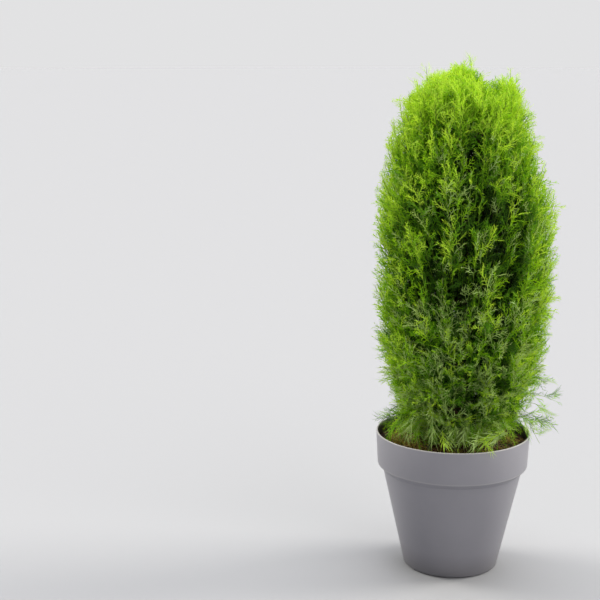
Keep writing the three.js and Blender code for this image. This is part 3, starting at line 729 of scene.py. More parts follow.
def spray_pattern(rng, kind):
    """One spray of unit length: an axis with thread-like side branchlets that curve upwards and fork.

    Its corners are (along, across, off the flat) and each branchlet is a tapering strip.
    """
    corners = []
    triangles = []

    def strip(points, widths, tilt):
        """A narrow strip that tapers to its last point and is tilted out of the spray's flat."""
        first = len(corners)
        heading = np.gradient(points, axis=0)
        for point, ahead, width in zip(points[:-1], heading, widths):
            sideways = np.array((-ahead[1], ahead[0], tilt * np.hypot(ahead[0], ahead[1])))
            sideways *= width / 2 / np.linalg.norm(sideways)
            corners.extend((point - sideways, point + sideways))
        corners.append(points[-1])
        last = first + 2 * (len(points) - 1)
        for i in range(first, last - 2, 2):
            triangles.append((i, i + 2, i + 1))
            triangles.append((i + 1, i + 2, i + 3))
        triangles.append((last - 2, last, last - 1))

    def bent(start, angle, turn, length, lift, shares):
        """Points of a branchlet that starts at an angle to the axis and turns as it grows."""
        points = [start]
        for share in np.diff((0, *shares)):
            angle += turn * share
            way = np.array((math.cos(angle), math.sin(angle), lift))
            points.append(points[-1] + share * length * way)
        return np.array(points)

    thread = kind["thread"]
    count = kind["branchlets"]
    wave = rng.uniform(-AXIS_WAVE, AXIS_WAVE)
    axis = np.array([(s, wave * math.sin(math.pi * s), 0.0) for s in (0.0, 0.35, 0.7, 1.0)])
    strip(axis, (thread, 0.9 * thread, 0.8 * thread), 0.0)
    for i in range(count):
        shift = rng.uniform(-BRANCHLET_SHIFT, BRANCHLET_SHIFT)
        place = BRANCHLETS_FROM + BRANCHLETS_OVER * (i + shift) / (count - 1)
        side = 1 if i % 2 else -1
        # The branchlets are longest a little before the middle of the spray.
        widest = (0.6 + 0.9 * place) * max(0.06, 1 - place) ** 0.5
        length = kind["reach"] * widest * rng.uniform(*BRANCHLET_VARIES)
        angle = math.radians(rng.uniform(*kind["angles"]))
        turn = math.radians(rng.uniform(*kind["turns"]))
        lift = kind["lift"] * rng.uniform(-1, 1)
        start = np.array((place, wave * math.sin(math.pi * place), 0.0))
        points = bent(start, side * angle, side * turn, length, lift, (0.5, 1.0))
        strip(points, (0.95 * thread, 0.85 * thread), rng.uniform(-STRIP_TILT, STRIP_TILT))
        if length < kind["forks_from"]:
            continue
        for root, fork_side in ((points[1], -1), ((points[1] + points[2]) / 2, 1)):
            fork_angle = side * (angle + turn / 2) + fork_side * math.radians(rng.uniform(*FORK_ANGLES))
            fork = bent(root, fork_angle, 0.0, length * rng.uniform(*FORK_REACH), -lift, (1.0,))
            strip(fork, (0.85 * thread,), rng.uniform(-STRIP_TILT, STRIP_TILT))
    return np.array(corners), np.array(triangles)


def cleft_depth(azimuth, height):
    """How much shorter the branches are in the dark clefts between the plumes."""
    cells = CROWN_RADIUS * azimuth / CLEFT_NOISE["wide"], height / CLEFT_NOISE["tall"]
    wave = np.array([noise.noise(Vector((x, y, 0.5))) for x, y in zip(*cells)])
    # The crown's two flanks are smoother than its front and back.
    rough = CLEFT_NOISE["flanks"] + (1 - CLEFT_NOISE["flanks"]) * np.abs(np.sin(azimuth))
    depth = CLEFT_NOISE["depth"] * rough * np.clip((-wave - CLEFT_NOISE["from"]) / CLEFT_NOISE["over"], 0, 1)

    def near(turn, level, wide, tall, deep):
        away = (np.degrees(azimuth) - turn + 180) % 360 - 180
        return deep * np.exp(-((away / wide) ** 2) - ((height - level) / tall) ** 4)

    depth = np.maximum(0, depth - near(*FULLER))
    for cleft in CLEFTS:
        depth = np.maximum(depth, near(*cleft))
    return depth


def side_trim(azimuth, height):
    """The share by which the crown is slimmer than its outline."""
    total = np.zeros(np.shape(height))
    for middle, spread, share, begins, over in TRIMS:
        away = (azimuth - middle + math.pi) % TURN - math.pi
        total += share * np.exp(-((away / spread) ** 2)) * np.clip((height - begins) / over, 0, 1)
    return total


def peak_dip(points):
    """How much lower the crown's top is in the dip beside its leader."""
    across = (points[:, 0] - PEAK_DIP["x"]) / PEAK_DIP["across"]
    return PEAK_DIP["depth"] * np.exp(-(across**2) - (points[:, 1] / PEAK_DIP["along"]) ** 4)


def upright_points(joint, azimuth, radius, top):
    """Four points for each plume that stands up into the crown's top."""
    out = aside(azimuth)
    knots = [centre_line(top - below) + out * (share * radius)[:, None] for below, share in UPRIGHT_KNOTS]
    return np.stack((joint, *knots), axis=1)


def top_wisps(lines):
    tips = np.array(TOP_WISPS, dtype=float)
    joints = np.array([anchor_for(lines, tip - WISP_LENGTH * UP) for tip in tips])
    return upright_points(joints, *round_centre(tips), tips[:, 2])


def plume_lines(space, lines, count, rng):
    """Four points for each plume of a mass: on the stem, twice along the flow, and at the outline."""
    side, share = ((0.5 + step * np.arange(count) + rng.uniform()) % 1 for step in EVEN_STEPS)
    azimuth = space["azimuth"] + MASS_WIDTH * space["half_turn"] * (2 * side - 1)
    joint = stem_points(space, lines, rng.uniform(*PLUME_STARTS, count))
    if space["name"] == "top":
        inner = space["inner"]
        radius = inner + 4 + (TOP_SPREAD - inner) * share
        top = outline_height(radius, azimuth) - SIDE_PEAK_DROP * side_lift(azimuth)
        top -= PEAK_DROP + rng.uniform(0, TOP_UNEVEN, count)
        top -= peak_dip(centre_line(top) + aside(azimuth) * radius[:, None])
        return upright_points(joint, azimuth, radius, top)
    height = space["to"] - space["from"]
    tip_flow = space["from"] + 3 + (height - 5) * share
    root_flow = np.maximum(space["from"] + 4, tip_flow - PLUME_ROOT_LOWER * height)
    shortest = PLUME_ENDS["from"] - PLUME_ENDS["shorter_in_front"] * np.abs(np.sin(azimuth))
    reach = flow_reach(azimuth, tip_flow) * rng.uniform(shortest, PLUME_ENDS["to"])
    tip_height = flow_height(tip_flow, reach)
    reach *= 1 - cleft_depth(azimuth, tip_height) - side_trim(azimuth, tip_height)
    root = flow_point(azimuth, root_flow, PLUME_ROOT * reach)
    body = flow_point(azimuth, (root_flow + 2 * tip_flow) / 3, PLUME_BODY * reach)
    return np.stack((joint, root, body, flow_point(azimuth, tip_flow, reach)), axis=1)


def leader_lines(rng):
    """Four points for each plume of the leader, which stands on the trunk's tip."""
    k = np.arange(LEADER_PLUMES)
    share = (0.3 + 0.618 * k) % 1
    azimuth = GOLDEN_TURN * k + rng.uniform(-0.3, 0.3, LEADER_PLUMES)
    foot = LEADER["foot"] + (LEADER["core_top"] - LEADER["foot"]) * share
    top = np.minimum(LEADER["top"] - LEADER_DROP, foot + rng.uniform(*LEADER_RISE, LEADER_PLUMES))
    out = (LEADER["radius"] - 4) * (1 - 0.75 * share**1.5) * rng.uniform(0.7, 1.0, LEADER_PLUMES)
    joint = centre_line(np.maximum(foot - 26, TRUNK_TIP - 20))
    root = centre_line(foot) + aside(azimuth) * LEADER["root_radius"]
    body = centre_line((foot + top) / 2) + aside(azimuth) * (0.7 * out)[:, None]
    tip = centre_line(top) + aside(azimuth) * out[:, None]
    return np.stack((joint, root, body, tip), axis=1)


def shoot_lines(shoots, lines):
    """Four points for each lone shoot: on a limb, inside the crown, on its arch and at its tip."""
    found = []
    for azimuth, radius, height, arch in shoots:
        out = aside(math.radians(azimuth))
        root = centre_line(max(height, 300) + 6) + 62 * out
        tip = centre_line(height) + radius * out
        body = (root + 2 * tip) / 3 + arch * UP
        found.append((anchor_for(lines, root), root, body, tip))
    return np.array(found)


def hanging_shoots(rng):
    """Rows like those of the lone shoots, spread all round the crown's foot."""
    count = HANGING_SHOOTS
    turns = 360 * (np.arange(count) + rng.uniform(-0.3, 0.3, count)) / count
    return tuple(zip(turns, *(rng.uniform(*HANGING[part], count) for part in ("radii", "heights", "arches"))))


def curve_through(points, steps):
    """Smooth lines through the four points of each plume, all with the same number of steps."""
    before = 2 * points[:, :1] - points[:, 1:2]
    after = 2 * points[:, -1:] - points[:, -2:-1]
    knots = np.concatenate((before, points, after), axis=1)
    place = np.linspace(0, points.shape[1] - 1, steps)
    span = np.minimum(place.astype(int), points.shape[1] - 2)
    t = (place - span)[None, :, None]
    p0, p1, p2, p3 = (knots[:, span + i] for i in range(4))
    return 0.5 * (
        2 * p1
        + (p2 - p0) * t
        + (2 * p0 - 5 * p1 + 4 * p2 - p3) * t**2
        + (3 * p1 - p0 - 3 * p2 + p3) * t**3
    )


def read_along(curves, shares):
    """Points and headings at shares from 0 to 1 along each curve: shares is (n, m)."""
    steps = curves.shape[1] - 1
    place = np.clip(shares, 0, 1) * steps
    span = np.minimum(place.astype(int), steps - 1)
    t = (place - span)[..., None]
    row = np.arange(len(curves))[:, None]
    start, end = curves[row, span], curves[row, span + 1]
    return start + (end - start) * t, unit(end - start)


def spray_places(origin, heading, across, length, bend, sweep):
    """Where sprays lie: roots, directions and lengths, their bend off the flat and their sweep in it."""
    ways = {"origin": origin, "heading": heading, "across": across, "normal": np.cross(heading, across)}
    places = {key: way.reshape(-1, 3) for key, way in ways.items()}
    return {**places, "length": length.ravel(), "bend": bend, "sweep": sweep}


def laid_sprays(pattern, places):
    """A pattern laid at many places."""
    corners, triangles = pattern
    along, across, off = corners.T
    length = places["length"][:, None, None]
    swept = across[None] + places["sweep"][:, None] * along[None] ** 2
    bent = off[None] + places["bend"][:, None] * along[None] ** 2
    laid = places["origin"][:, None] + length * (
        along[None, :, None] * places["heading"][:, None]
        + swept[..., None] * places["across"][:, None]
        + bent[..., None] * places["normal"][:, None]
    )
    first = np.arange(len(laid))[:, None, None] * len(corners)
    return laid.reshape(-1, 3), (triangles[None] + first).reshape(-1, 3)


def front_sprays():
    """The single sprays in front, laid with their flat towards the outside, and the tint of each."""
    roots, ends, bows, tints = zip(*FRONT_SPRAYS)
    roots = np.array(roots, dtype=float)
    ways = np.array(ends, dtype=float) - roots
    heading = unit(ways)
    across = unit(np.cross(unit(roots * (1, 1, 0)), heading))
    length = np.linalg.norm(ways, axis=1)
    places = spray_places(roots, heading, across, length, -np.array(bows), np.full(len(roots), 0.1))
    places["free"] = np.ones(len(roots), dtype=bool)
    names = [name for name, _, _ in TINTS]
    return places, np.array([names.index(tint) for tint in tints])


def picked(places, mask):
    return {key: value[mask] for key, value in places.items()}


def grown_sprays(curves, free, pull, per_plume, longest, rng):
    """Where the sprays of some plumes lie: in turn on either side of each plume, and one at its tip."""
    shape = (len(curves), per_plume)
    step = np.arange(per_plume)
    place = (step[None] + rng.uniform(0, 0.8, shape)) / per_plume
    # They stand closer together towards the tip.
    along = FIRST_SPRAY + (1 - FIRST_SPRAY) * place**SPRAY_CROWDING
    along[:, -1] = LAST_SPRAY
    origin, tangent = read_along(curves, along)
    whirl = rng.uniform(0, TURN, (len(curves), 1)) + rng.normal(0, SPRAY_TURN, shape)
    level = unit(np.cross(tangent, UP + 1e-3))
    over = np.cross(level, tangent)
    sideways = level * np.cos(whirl)[..., None] + over * np.sin(whirl)[..., None]
    sign = np.where((step + 1) % 2, 1.0, -1.0)[None, :, None]
    angle = rng.uniform(*SPRAY_ANGLES, shape)
    # The last one goes on in nearly the plume's own direction.
    angle[:, -1] *= 0.15
    heading = tangent * np.cos(angle)[..., None] + sign * sideways * np.sin(angle)[..., None]
    heading = unit(heading + pull[:, None, None] * UP)
    flat = unit(np.cross(sideways, tangent) + SPRAY_FLAT_VARIES * rng.normal(0, 1, heading.shape))
    across = unit(np.cross(flat, heading))
    size = longest * (1 - SPRAY_TAPER * along) * rng.uniform(*SPRAY_VARIES, shape)
    # No spray reaches far beyond the tip of its own plume.
    end, end_heading = curves[:, -1:], unit(curves[:, -1:] - curves[:, -3:-2])
    room = np.sum((end - origin) * end_heading, axis=-1) + rng.uniform(*SPRAY_BEYOND, shape)
    gain = np.maximum(np.sum(heading * end_heading, axis=-1), 0.2)
    size = np.clip(room / gain, 0.45 * size, size)
    # The lone shoots high up are short-branched.
    size = np.where(free[:, None] & (origin[..., 2] > CROWN_MIDDLE), 0.75 * size, size)
    bend, sweep = (rng.normal(0, spread, size.size) for spread in (SPRAY_BEND, SPRAY_SWEEP))
    return {**spray_places(origin, heading, across, size, bend, sweep), "free": np.repeat(free, per_plume)}


def crown_share(points):
    """How far out points lie: 0 at the crown's middle and 1 on its outline."""
    height = points[:, 2]
    azimuth, radius = round_centre(points)
    widest = CROWN_RADIUS * (1 - side_trim(azimuth, height))
    return np.sqrt((radius / widest) ** 2 + off_middle(height, top_lift(azimuth)) ** CROWN_ROUNDNESS)


def held_to_outline(places, rng):
    """Sprays that would stand out of the crown's outline, made shorter; a few reach on as wisps."""
    root = crown_share(places["origin"])
    tip = crown_share(places["origin"] + places["heading"] * places["length"][:, None])
    count = len(root)
    limit = 1.0 + UNEVEN_OUTLINE * rng.uniform(-1, 1, count) + WISP_REACH * (rng.uniform(size=count) < WISPS)
    share = np.clip((limit - root) / np.maximum(tip - root, 1e-3), 0.4, 1.0)
    held = np.where(places["free"], 1.0, np.where(tip > limit, share, 1.0))
    return {**places, "length": places["length"] * held}


def clear_of_pot(places):
    """Whether each spray stays above the compost and clear of the pot's rim."""
    probes = np.array([(along, side, 0.0) for along, side in PROBES])
    points, _ = laid_sprays((probes, np.zeros((0, 3), dtype=int)), places)
    radius = np.hypot(points[:, 0], points[:, 1])
    floor = np.where(radius < 142, COMPOST_LEVEL + 1, np.where(radius < 155, 275.0, 200.0))
    return (points[:, 2] > floor).reshape(-1, len(PROBES)).all(axis=1)


def tint_numbers(places, rng):
    """The tint of each spray: darker inside, paler towards the outline, the top and the tips.

    The darker tints paint shade, and the paler ones paint light.
    """
    tips = places["origin"] + places["heading"] * (0.7 * places["length"][:, None])
    level = tips[:, 2]
    count = len(tips)
    depth = CROWN_RADIUS * (1 - crown_share(tips))
    # Low lone shoots take the painted shade of the inside, and high ones the painted light of the outside.
    low_shoots = rng.uniform(*LOW_SHOOT_DEPTHS, count)
    depth = np.where(places["free"], np.where(level < 500, low_shoots, -8.0), depth)
    height = (level - TINT_RULE["foot"]) / TINT_RULE["height"]
    drift = np.array([noise.noise(Vector(tip) / TINT_RULE["drift_size"]) for tip in tips])
    # In front, away from the light, the painted shade deepens faster with depth, and more of the sprays
    # take the pale old tint, which there paints highlights.
    front = np.clip(-tips[:, 1] / np.maximum(round_centre(tips)[1], 1e-6), 0, 1) ** 2
    value = -depth / (TINT_RULE["depth"] - SHADED_SIDE["steeper"] * front)
    value = value + TINT_RULE["rise"] * (height - 0.5) + TINT_RULE["drift"] * drift
    value += rng.normal(0, TINT_RULE["chance"], count) + SHADED_SIDE["paler"] * front
    edges = np.quantile(value, np.cumsum(TINT_SHARES)[:-1])
    numbers = np.searchsorted(edges, value)
    # No spray on the outside is of the two darkest tints, and at the very top none is of the third either.
    outside = depth < SKIN["elsewhere"] + (SKIN["front"] - SKIN["elsewhere"]) * front
    numbers = np.where(outside, np.maximum(numbers, np.where(level > SKIN["pale_above"], 3, 2)), numbers)
    # None of the lone shoots is of the darkest.
    numbers = np.where(places["free"], np.maximum(numbers, 1), numbers)
    # Pale old sprays, partly old growth and partly painted highlights, low down and in front.
    low = np.clip((OLD_AND_HIGHLIT_SPRAYS["below"] - level) / OLD_AND_HIGHLIT_SPRAYS["over"], 0, 1)
    front_highlights = SHADED_SIDE["highlight_share"] * front * np.clip((SHADED_SIDE["below"] - level) / 200, 0, 1)
    old = rng.uniform(size=count) < low * OLD_AND_HIGHLIT_SPRAYS["share"] + front_highlights
    return np.where(old & (numbers > 2), len(TINT_SHARES), numbers)


# Settings


class ThujaPotSettings(bpy.types.PropertyGroup):
    rim_radius: FloatProperty(
        name="Rim radius",
        description="Outer radius of the pot at its rim",
        default=(POT_HIGH[0] - POT_LOW[0]) / 2,
        unit="LENGTH",
    )
    height: FloatProperty(
        name="Height", description="Height of the pot from its underside to its rim",
        default=POT_HIGH[2], unit="LENGTH",
    )
    wall: FloatProperty(
        name="Wall", description="Thickness of the moulded wall", default=0.003, unit="LENGTH"
    )
    sides: IntProperty(name="Sides", description="Faces round the pot", default=128, min=24)
    colour: FloatVectorProperty(
        name="Plastic", description="Colour of the moulded plastic",
        subtype="COLOR", size=3, default=linear("#807F86"),
    )


class ThujaCompostSettings(bpy.types.PropertyGroup):
    level: FloatProperty(
        name="Level", description="Height of the compost at the trunk", default=COMPOST_TOP, unit="LENGTH"
    )
    lump: FloatProperty(
        name="Lumps", description="Height of the surface's lumps", default=0.003, unit="LENGTH"
    )
    crumbs: IntProperty(
        name="Crumbs", description="Loose crumbs and bark chips on the surface", default=900, min=0
    )
    fallen: IntProperty(
        name="Fallen sprays", description="Dry sprays that lie on the surface", default=420, min=0
    )
    dark: FloatVectorProperty(
        name="Dark crumbs", description="Colour of the peaty crumbs",
        subtype="COLOR", size=3, default=linear("#20150A"),
    )
    light: FloatVectorProperty(
        name="Red fibres", description="Colour of the bark fibres",
        subtype="COLOR", size=3, default=linear("#502F14"),
    )


class ThujaLimbSettings(bpy.types.PropertyGroup):
    relief: FloatProperty(
        name="Relief",
        description="Depth of the bark's ridges as a share of the limb's radius",
        default=0.09,
        subtype="FACTOR",
    )
    dark: FloatVectorProperty(
        name="Dark bark", description="Colour in the bark's furrows",
        subtype="COLOR", size=3, default=linear("#4A2E20"),
    )
    light: FloatVectorProperty(
        name="Light bark", description="Colour of the bark's strips",
        subtype="COLOR", size=3, default=linear("#8C6246"),
    )


class ThujaFoliageSettings(bpy.types.PropertyGroup):
    plume_spacing: FloatProperty(
        name="Plume spacing",
        description="Distance between the plumes over the crown's outline",
        default=0.026,
        unit="LENGTH",
    )
    sprays: IntProperty(name="Sprays", description="Sprays on each plume", default=18, min=4)
    spray_length: FloatProperty(
        name="Spray length", description="Length of the longest sprays", default=0.051, unit="LENGTH"
    )
    upward_pull: FloatProperty(
        name="Upward pull", description="How much the sprays turn up to the light", default=0.4
    )
    glow: FloatProperty(
        name="Glow", description="Share of light that comes through a leaf", default=0.34, subtype="FACTOR"
    )


class ThujaStageSettings(bpy.types.PropertyGroup):
    floor: FloatVectorProperty(
        name="Floor", description="Colour of the floor",
        subtype="COLOR", size=3, default=linear("#8F9094"),
    )
    horizon_strength: FloatProperty(
        name="Horizon", description="Strength of the haze that meets the floor", default=0.842
    )
    sky_strength: FloatProperty(
        name="Sky", description="Strength of the even light all round", default=0.55
    )


# Operators


class OBJECT_OT_thuja_pot(bpy.types.Operator):
    """Spin the pot's wall from its profile and round its edges"""

    bl_idname = "object.thuja_pot"
    bl_label = "Pot"

    def execute(self, context):
        sizes = context.scene.thuja_pot
        rim, top, wall = sizes.rim_radius, sizes.height, sizes.wall
        # Radius, height and rounding of each edge, from the underside out, up and back in.
        profile = (
            (0.0, 0.0, 0.0),
            (0.0895, 0.0, 0.0045),
            (0.0926, 0.004, 0.0),
            (0.136, 0.197, 0.0012),
            (0.1465, 0.207, 0.0012),
            (rim, top, 0.0009),
            (rim - wall, top, 0.0009),
            (0.1465 - wall, 0.2085, 0.001),
            (0.136 - wall, 0.1985, 0.001),
            (0.0905, 0.004, 0.0),
            (0.0, wall, 0.0),
        )
        bm = spun([corner[:2] for corner in profile], sizes.sides)
        bmesh.ops.remove_doubles(bm, verts=bm.verts, dist=1e-6)
        for radius, height, rounding in profile:
            if not rounding:
                continue
            ring = [
                edge for edge in bm.edges if all(at_ring(corner.co, radius, height) for corner in edge.verts)
            ]
            bmesh.ops.bevel(
                bm,
                geom=ring,
                offset=rounding,
                segments=3,
                profile=0.5,
                affect="EDGES",
                material=-1,
                clamp_overlap=True,
            )
        plastic = made_material("moulded_polypropylene", moulded_polypropylene, sizes.colour)
        dress("pot_wall", finished_mesh(bm), plastic, "pot_plastic", "pot")
        return {"FINISHED"}


def at_ring(point, radius, height):
    return abs(point.z - height) < 1e-5 and abs(math.hypot(point.x, point.y) - radius) < 1e-4


def surface_height(x, y, settings):
    """The height of the lumpy compost at a point, in metres."""
    radius = math.hypot(x, y)
    dish = 0.004 * min(1.0, max(0.0, (radius - 0.058) / 0.046))
    place = Vector((x, y, 0.0))
    lumps = noise.noise(place * 95.0) + 0.6 * noise.noise(place * 240.0) + 0.4 * noise.noise(place * 520.0)
    settle = min(1.0, max(0.0, (radius - 0.02) / 0.02))
    return settings.level - dish + settings.lump * settle * (lumps - 0.5)


class OBJECT_OT_thuja_compost(bpy.types.Operator):
    """Lay the compost in the pot, with crumbs and fallen sprays on it"""

    bl_idname = "object.thuja_compost"
    bl_label = "Compost"

    def execute(self, context):
        settings = context.scene.thuja_compost
        self.lay_surface(settings)
        self.scatter_crumbs(settings)
        self.scatter_fallen(settings)
        return {"FINISHED"}

    def lay_surface(self, settings):
        foot = settings.level - BED["depth"]
        profile = [(BED["radius"] * i / BED["rings"], settings.level) for i in range(BED["rings"] + 1)]
        bm = spun(profile + [(BED["foot_radius"], foot), (0.0, foot)], BED["sides"])
        for corner in bm.verts:
            if corner.co.z > settings.level - 0.001:
                corner.co.z = surface_height(corner.co.x, corner.co.y, settings)
        material = made_material("bark_compost", bark_compost, settings.dark, settings.light)
        dress("compost_bed", finished_mesh(bm), material, "compost", "compost")

    def scatter_crumbs(self, settings):
        rng = np.random.default_rng(11)
        # Without a seed the vector noise starts from the clock.
        noise.seed_set(11)
        bm = bmesh.new()
        for _ in range(settings.crumbs):
            radius = CRUMBS["within"] * math.sqrt(rng.uniform(0.03, 1))
            turn = rng.uniform(0, TURN)
            x, y = radius * math.cos(turn), radius * math.sin(turn)
            # One in eight is a longer chip of bark.
            long = rng.uniform(*CRUMBS["sizes"]) * (2.2 if rng.uniform() < 0.12 else 1.0)
            made = bmesh.ops.create_icosphere(bm, subdivisions=1, radius=1.0)
            place = Matrix.Translation((x, y, surface_height(x, y, settings) + 0.3 * long))
            spin = Matrix.Rotation(rng.uniform(0, TURN), 4, "Z")
            lean = Matrix.Rotation(rng.uniform(-0.6, 0.6), 4, "X")
            size = Matrix.Diagonal((long, long * rng.uniform(0.35, 0.9), long * rng.uniform(0.3, 0.7), 1))
            bmesh.ops.transform(bm, matrix=place @ spin @ lean @ size, verts=made["verts"])
            for corner in made["verts"]:
                corner.co += 0.25 * long * noise.noise_vector(corner.co * 900.0)
        material = made_material("bark_chips", bark_compost, linear("#2E1D13"), linear("#6B4128"))
        dress("compost_crumbs", finished_mesh(bm, smooth=False), material, "compost")

    def scatter_fallen(self, settings):
        rng = np.random.default_rng(12)
        count = settings.fallen
        radius = FALLEN["within"] * np.sqrt(rng.uniform(0.12, 1, count))
        turn = rng.uniform(0, TURN, count)
        # More of them lie on the left, where the crown stands further back from the rim.
        turn = np.where(rng.uniform(size=count) < 0.45, math.pi + 0.5 * rng.normal(0, 1, count), turn)
        x, y = radius * np.cos(turn), radius * np.sin(turn)
        ground = [surface_height(a * MILLIMETRE, b * MILLIMETRE, settings) / MILLIMETRE for a, b in zip(x, y)]
        heading_turn = rng.uniform(0, TURN, count)
        heading = unit(aside(heading_turn) + np.outer(rng.normal(0.1, 0.1, count), UP))
        places = spray_places(
            np.stack((x, y, np.array(ground) + FALLEN["above"]), axis=1),
            heading,
            unit(np.cross(UP, heading)),
            rng.uniform(*FALLEN["lengths"], count),
            rng.normal(0, 0.1, count),
            rng.normal(0, 0.2, count),
        )
        tip = places["origin"] + places["heading"] * places["length"][:, None]
        places = picked(places, np.hypot(tip[:, 0], tip[:, 1]) < FALLEN["tips_within"])
        mesh = joined_mesh([laid_sprays(spray_pattern(rng, SPRAY_KINDS["crown"]), places)])
        material = made_material("dry_sprays", scale_foliage, linear("#8C7834"), linear("#8A7430"), 0.1)
        dress("fallen_sprays", mesh, material, "foliage")


class OBJECT_OT_thuja_limbs(bpy.types.Operator):
    """Grow the trunk and boughs as round limbs with the bark's relief"""

    bl_idname = "object.thuja_limbs"
    bl_label = "Trunk and boughs"

    def execute(self, context):
        settings = context.scene.thuja_limbs
        material = made_material("fibrous_bark", fibrous_bark, settings.dark, settings.light)
        for name, line, radius in limbs():
            dress(f"{name}_bark", self.limb_mesh(name, line, radius, settings.relief), material, "bark", name)
        return {"FINISHED"}

    def limb_mesh(self, name, line, radius, relief):
        """A disc extruded ring by ring along the limb's line."""
        rings, start, seat = BOUGH_RINGS, 0.0, 0.0
        if name == "trunk":
            # The trunk is cut flat just above the compost.
            rings, seat = TRUNK_RINGS, TRUNK_SEAT
            start = TRUNK_BELOW_CUT / (TRUNK_TIP - COMPOST_LEVEL + TRUNK_BELOW_CUT)
        bm = bmesh.new()
        bmesh.ops.create_circle(bm, cap_ends=True, segments=LIMB_SIDES, radius=1.0)
        angles = {corner: math.atan2(corner.co.y, corner.co.x) for corner in bm.verts}
        self.lay_ring(bm.verts, angles, line, radius, start, relief, seat)
        face = bm.faces[:][0]
        for ring in range(1, rings + 1):
            share = start + (1 - start) * ring / rings
            before = [(corner.co.copy(), angles[corner]) for corner in face.verts]
            made = bmesh.ops.extrude_face_region(bm, geom=[face])
            new_corners = [part for part in made["geom"] if isinstance(part, bmesh.types.BMVert)]
            for corner in new_corners:
                near = min(before, key=lambda pair: (pair[0] - corner.co).length_squared)
                angles[corner] = near[1]
            if ring > 1:
                bmesh.ops.delete(bm, geom=[face], context="FACES_ONLY")
            face = next(part for part in made["geom"] if isinstance(part, bmesh.types.BMFace))
            self.lay_ring(new_corners, angles, line, radius, share, relief, 0.0)
        return finished_mesh(bm)

    def lay_ring(self, corners, angles, line, radius, share, relief, seat):
        middle = line.at(share)
        along = unit(line.at(min(1.0, share + 0.01)) - line.at(max(0.0, share - 0.01)))
        across = unit(np.array((1.0, 0.2, 0.0)) - along * np.dot(along, (1.0, 0.2, 0.0)))
        over = np.cross(along, across)
        size = radius(share)
        for corner in corners:
            cos, sin = math.cos(angles[corner]), math.sin(angles[corner])
            probe = Vector((3.2 * cos, 3.2 * sin, middle[2] * 0.02))
            ridge = noise.noise(probe) + 0.5 * noise.noise(probe * 2.3)
            place = middle + (cos * across + sin * over) * size * (1 + relief * ridge)
            if seat:
                place[2] = COMPOST_LEVEL + seat
            corner.co = Vector(place) * MILLIMETRE


def crown_curves(settings):
    """The stems' lines, and for each plume its curve, whether it stands alone and its sprays' upward pull."""
    rng = np.random.default_rng(5)
    lines = [line for _, line, _ in limbs()]
    spacing = settings.plume_spacing / MILLIMETRE
    stems = []
    plumes = []
    for space in spaces():
        stems.append(stem_points(space, lines, np.linspace(0, 1, STEM_STEPS)))
        reach = float(flow_reach(space["azimuth"], (space["from"] + space["to"]) / 2))
        low, high = (flow_height(space[end], reach) for end in ("from", "to"))
        area = 2 * space["half_turn"] * reach * max(high - low, 60.0)
        if space["name"] == "top":
            area = space["half_turn"] * (TOP_SPREAD**2 - space["inner"] ** 2 + TOP_SIDES)
        plumes.append(plume_lines(space, lines, int(round(area / spacing**2)), rng))
    plumes.append(leader_lines(rng))
    grown = sum(len(part) for part in plumes)
    plumes.append(top_wisps(lines))
    plumes.append(shoot_lines(LONE_SHOOTS, lines))
    plumes.append(shoot_lines(hanging_shoots(rng) + RIM_SHOOTS, lines))
    points = np.concatenate(plumes)
    free = np.arange(len(points)) >= grown
    # High up, where they get light from all sides, the sprays stand more upright.
    pull = settings.upward_pull * (1 + np.clip((points[:, 3, 2] - 780) / 150, 0, 1))
    pull[grown + len(TOP_WISPS) :] = LONE_SHOOT_PULL
    pull[grown + len(TOP_WISPS) + len(LONE_SHOOTS) :] = HANGING_PULL
    return np.array(stems), curve_through(points, CURVE_STEPS), free, pull


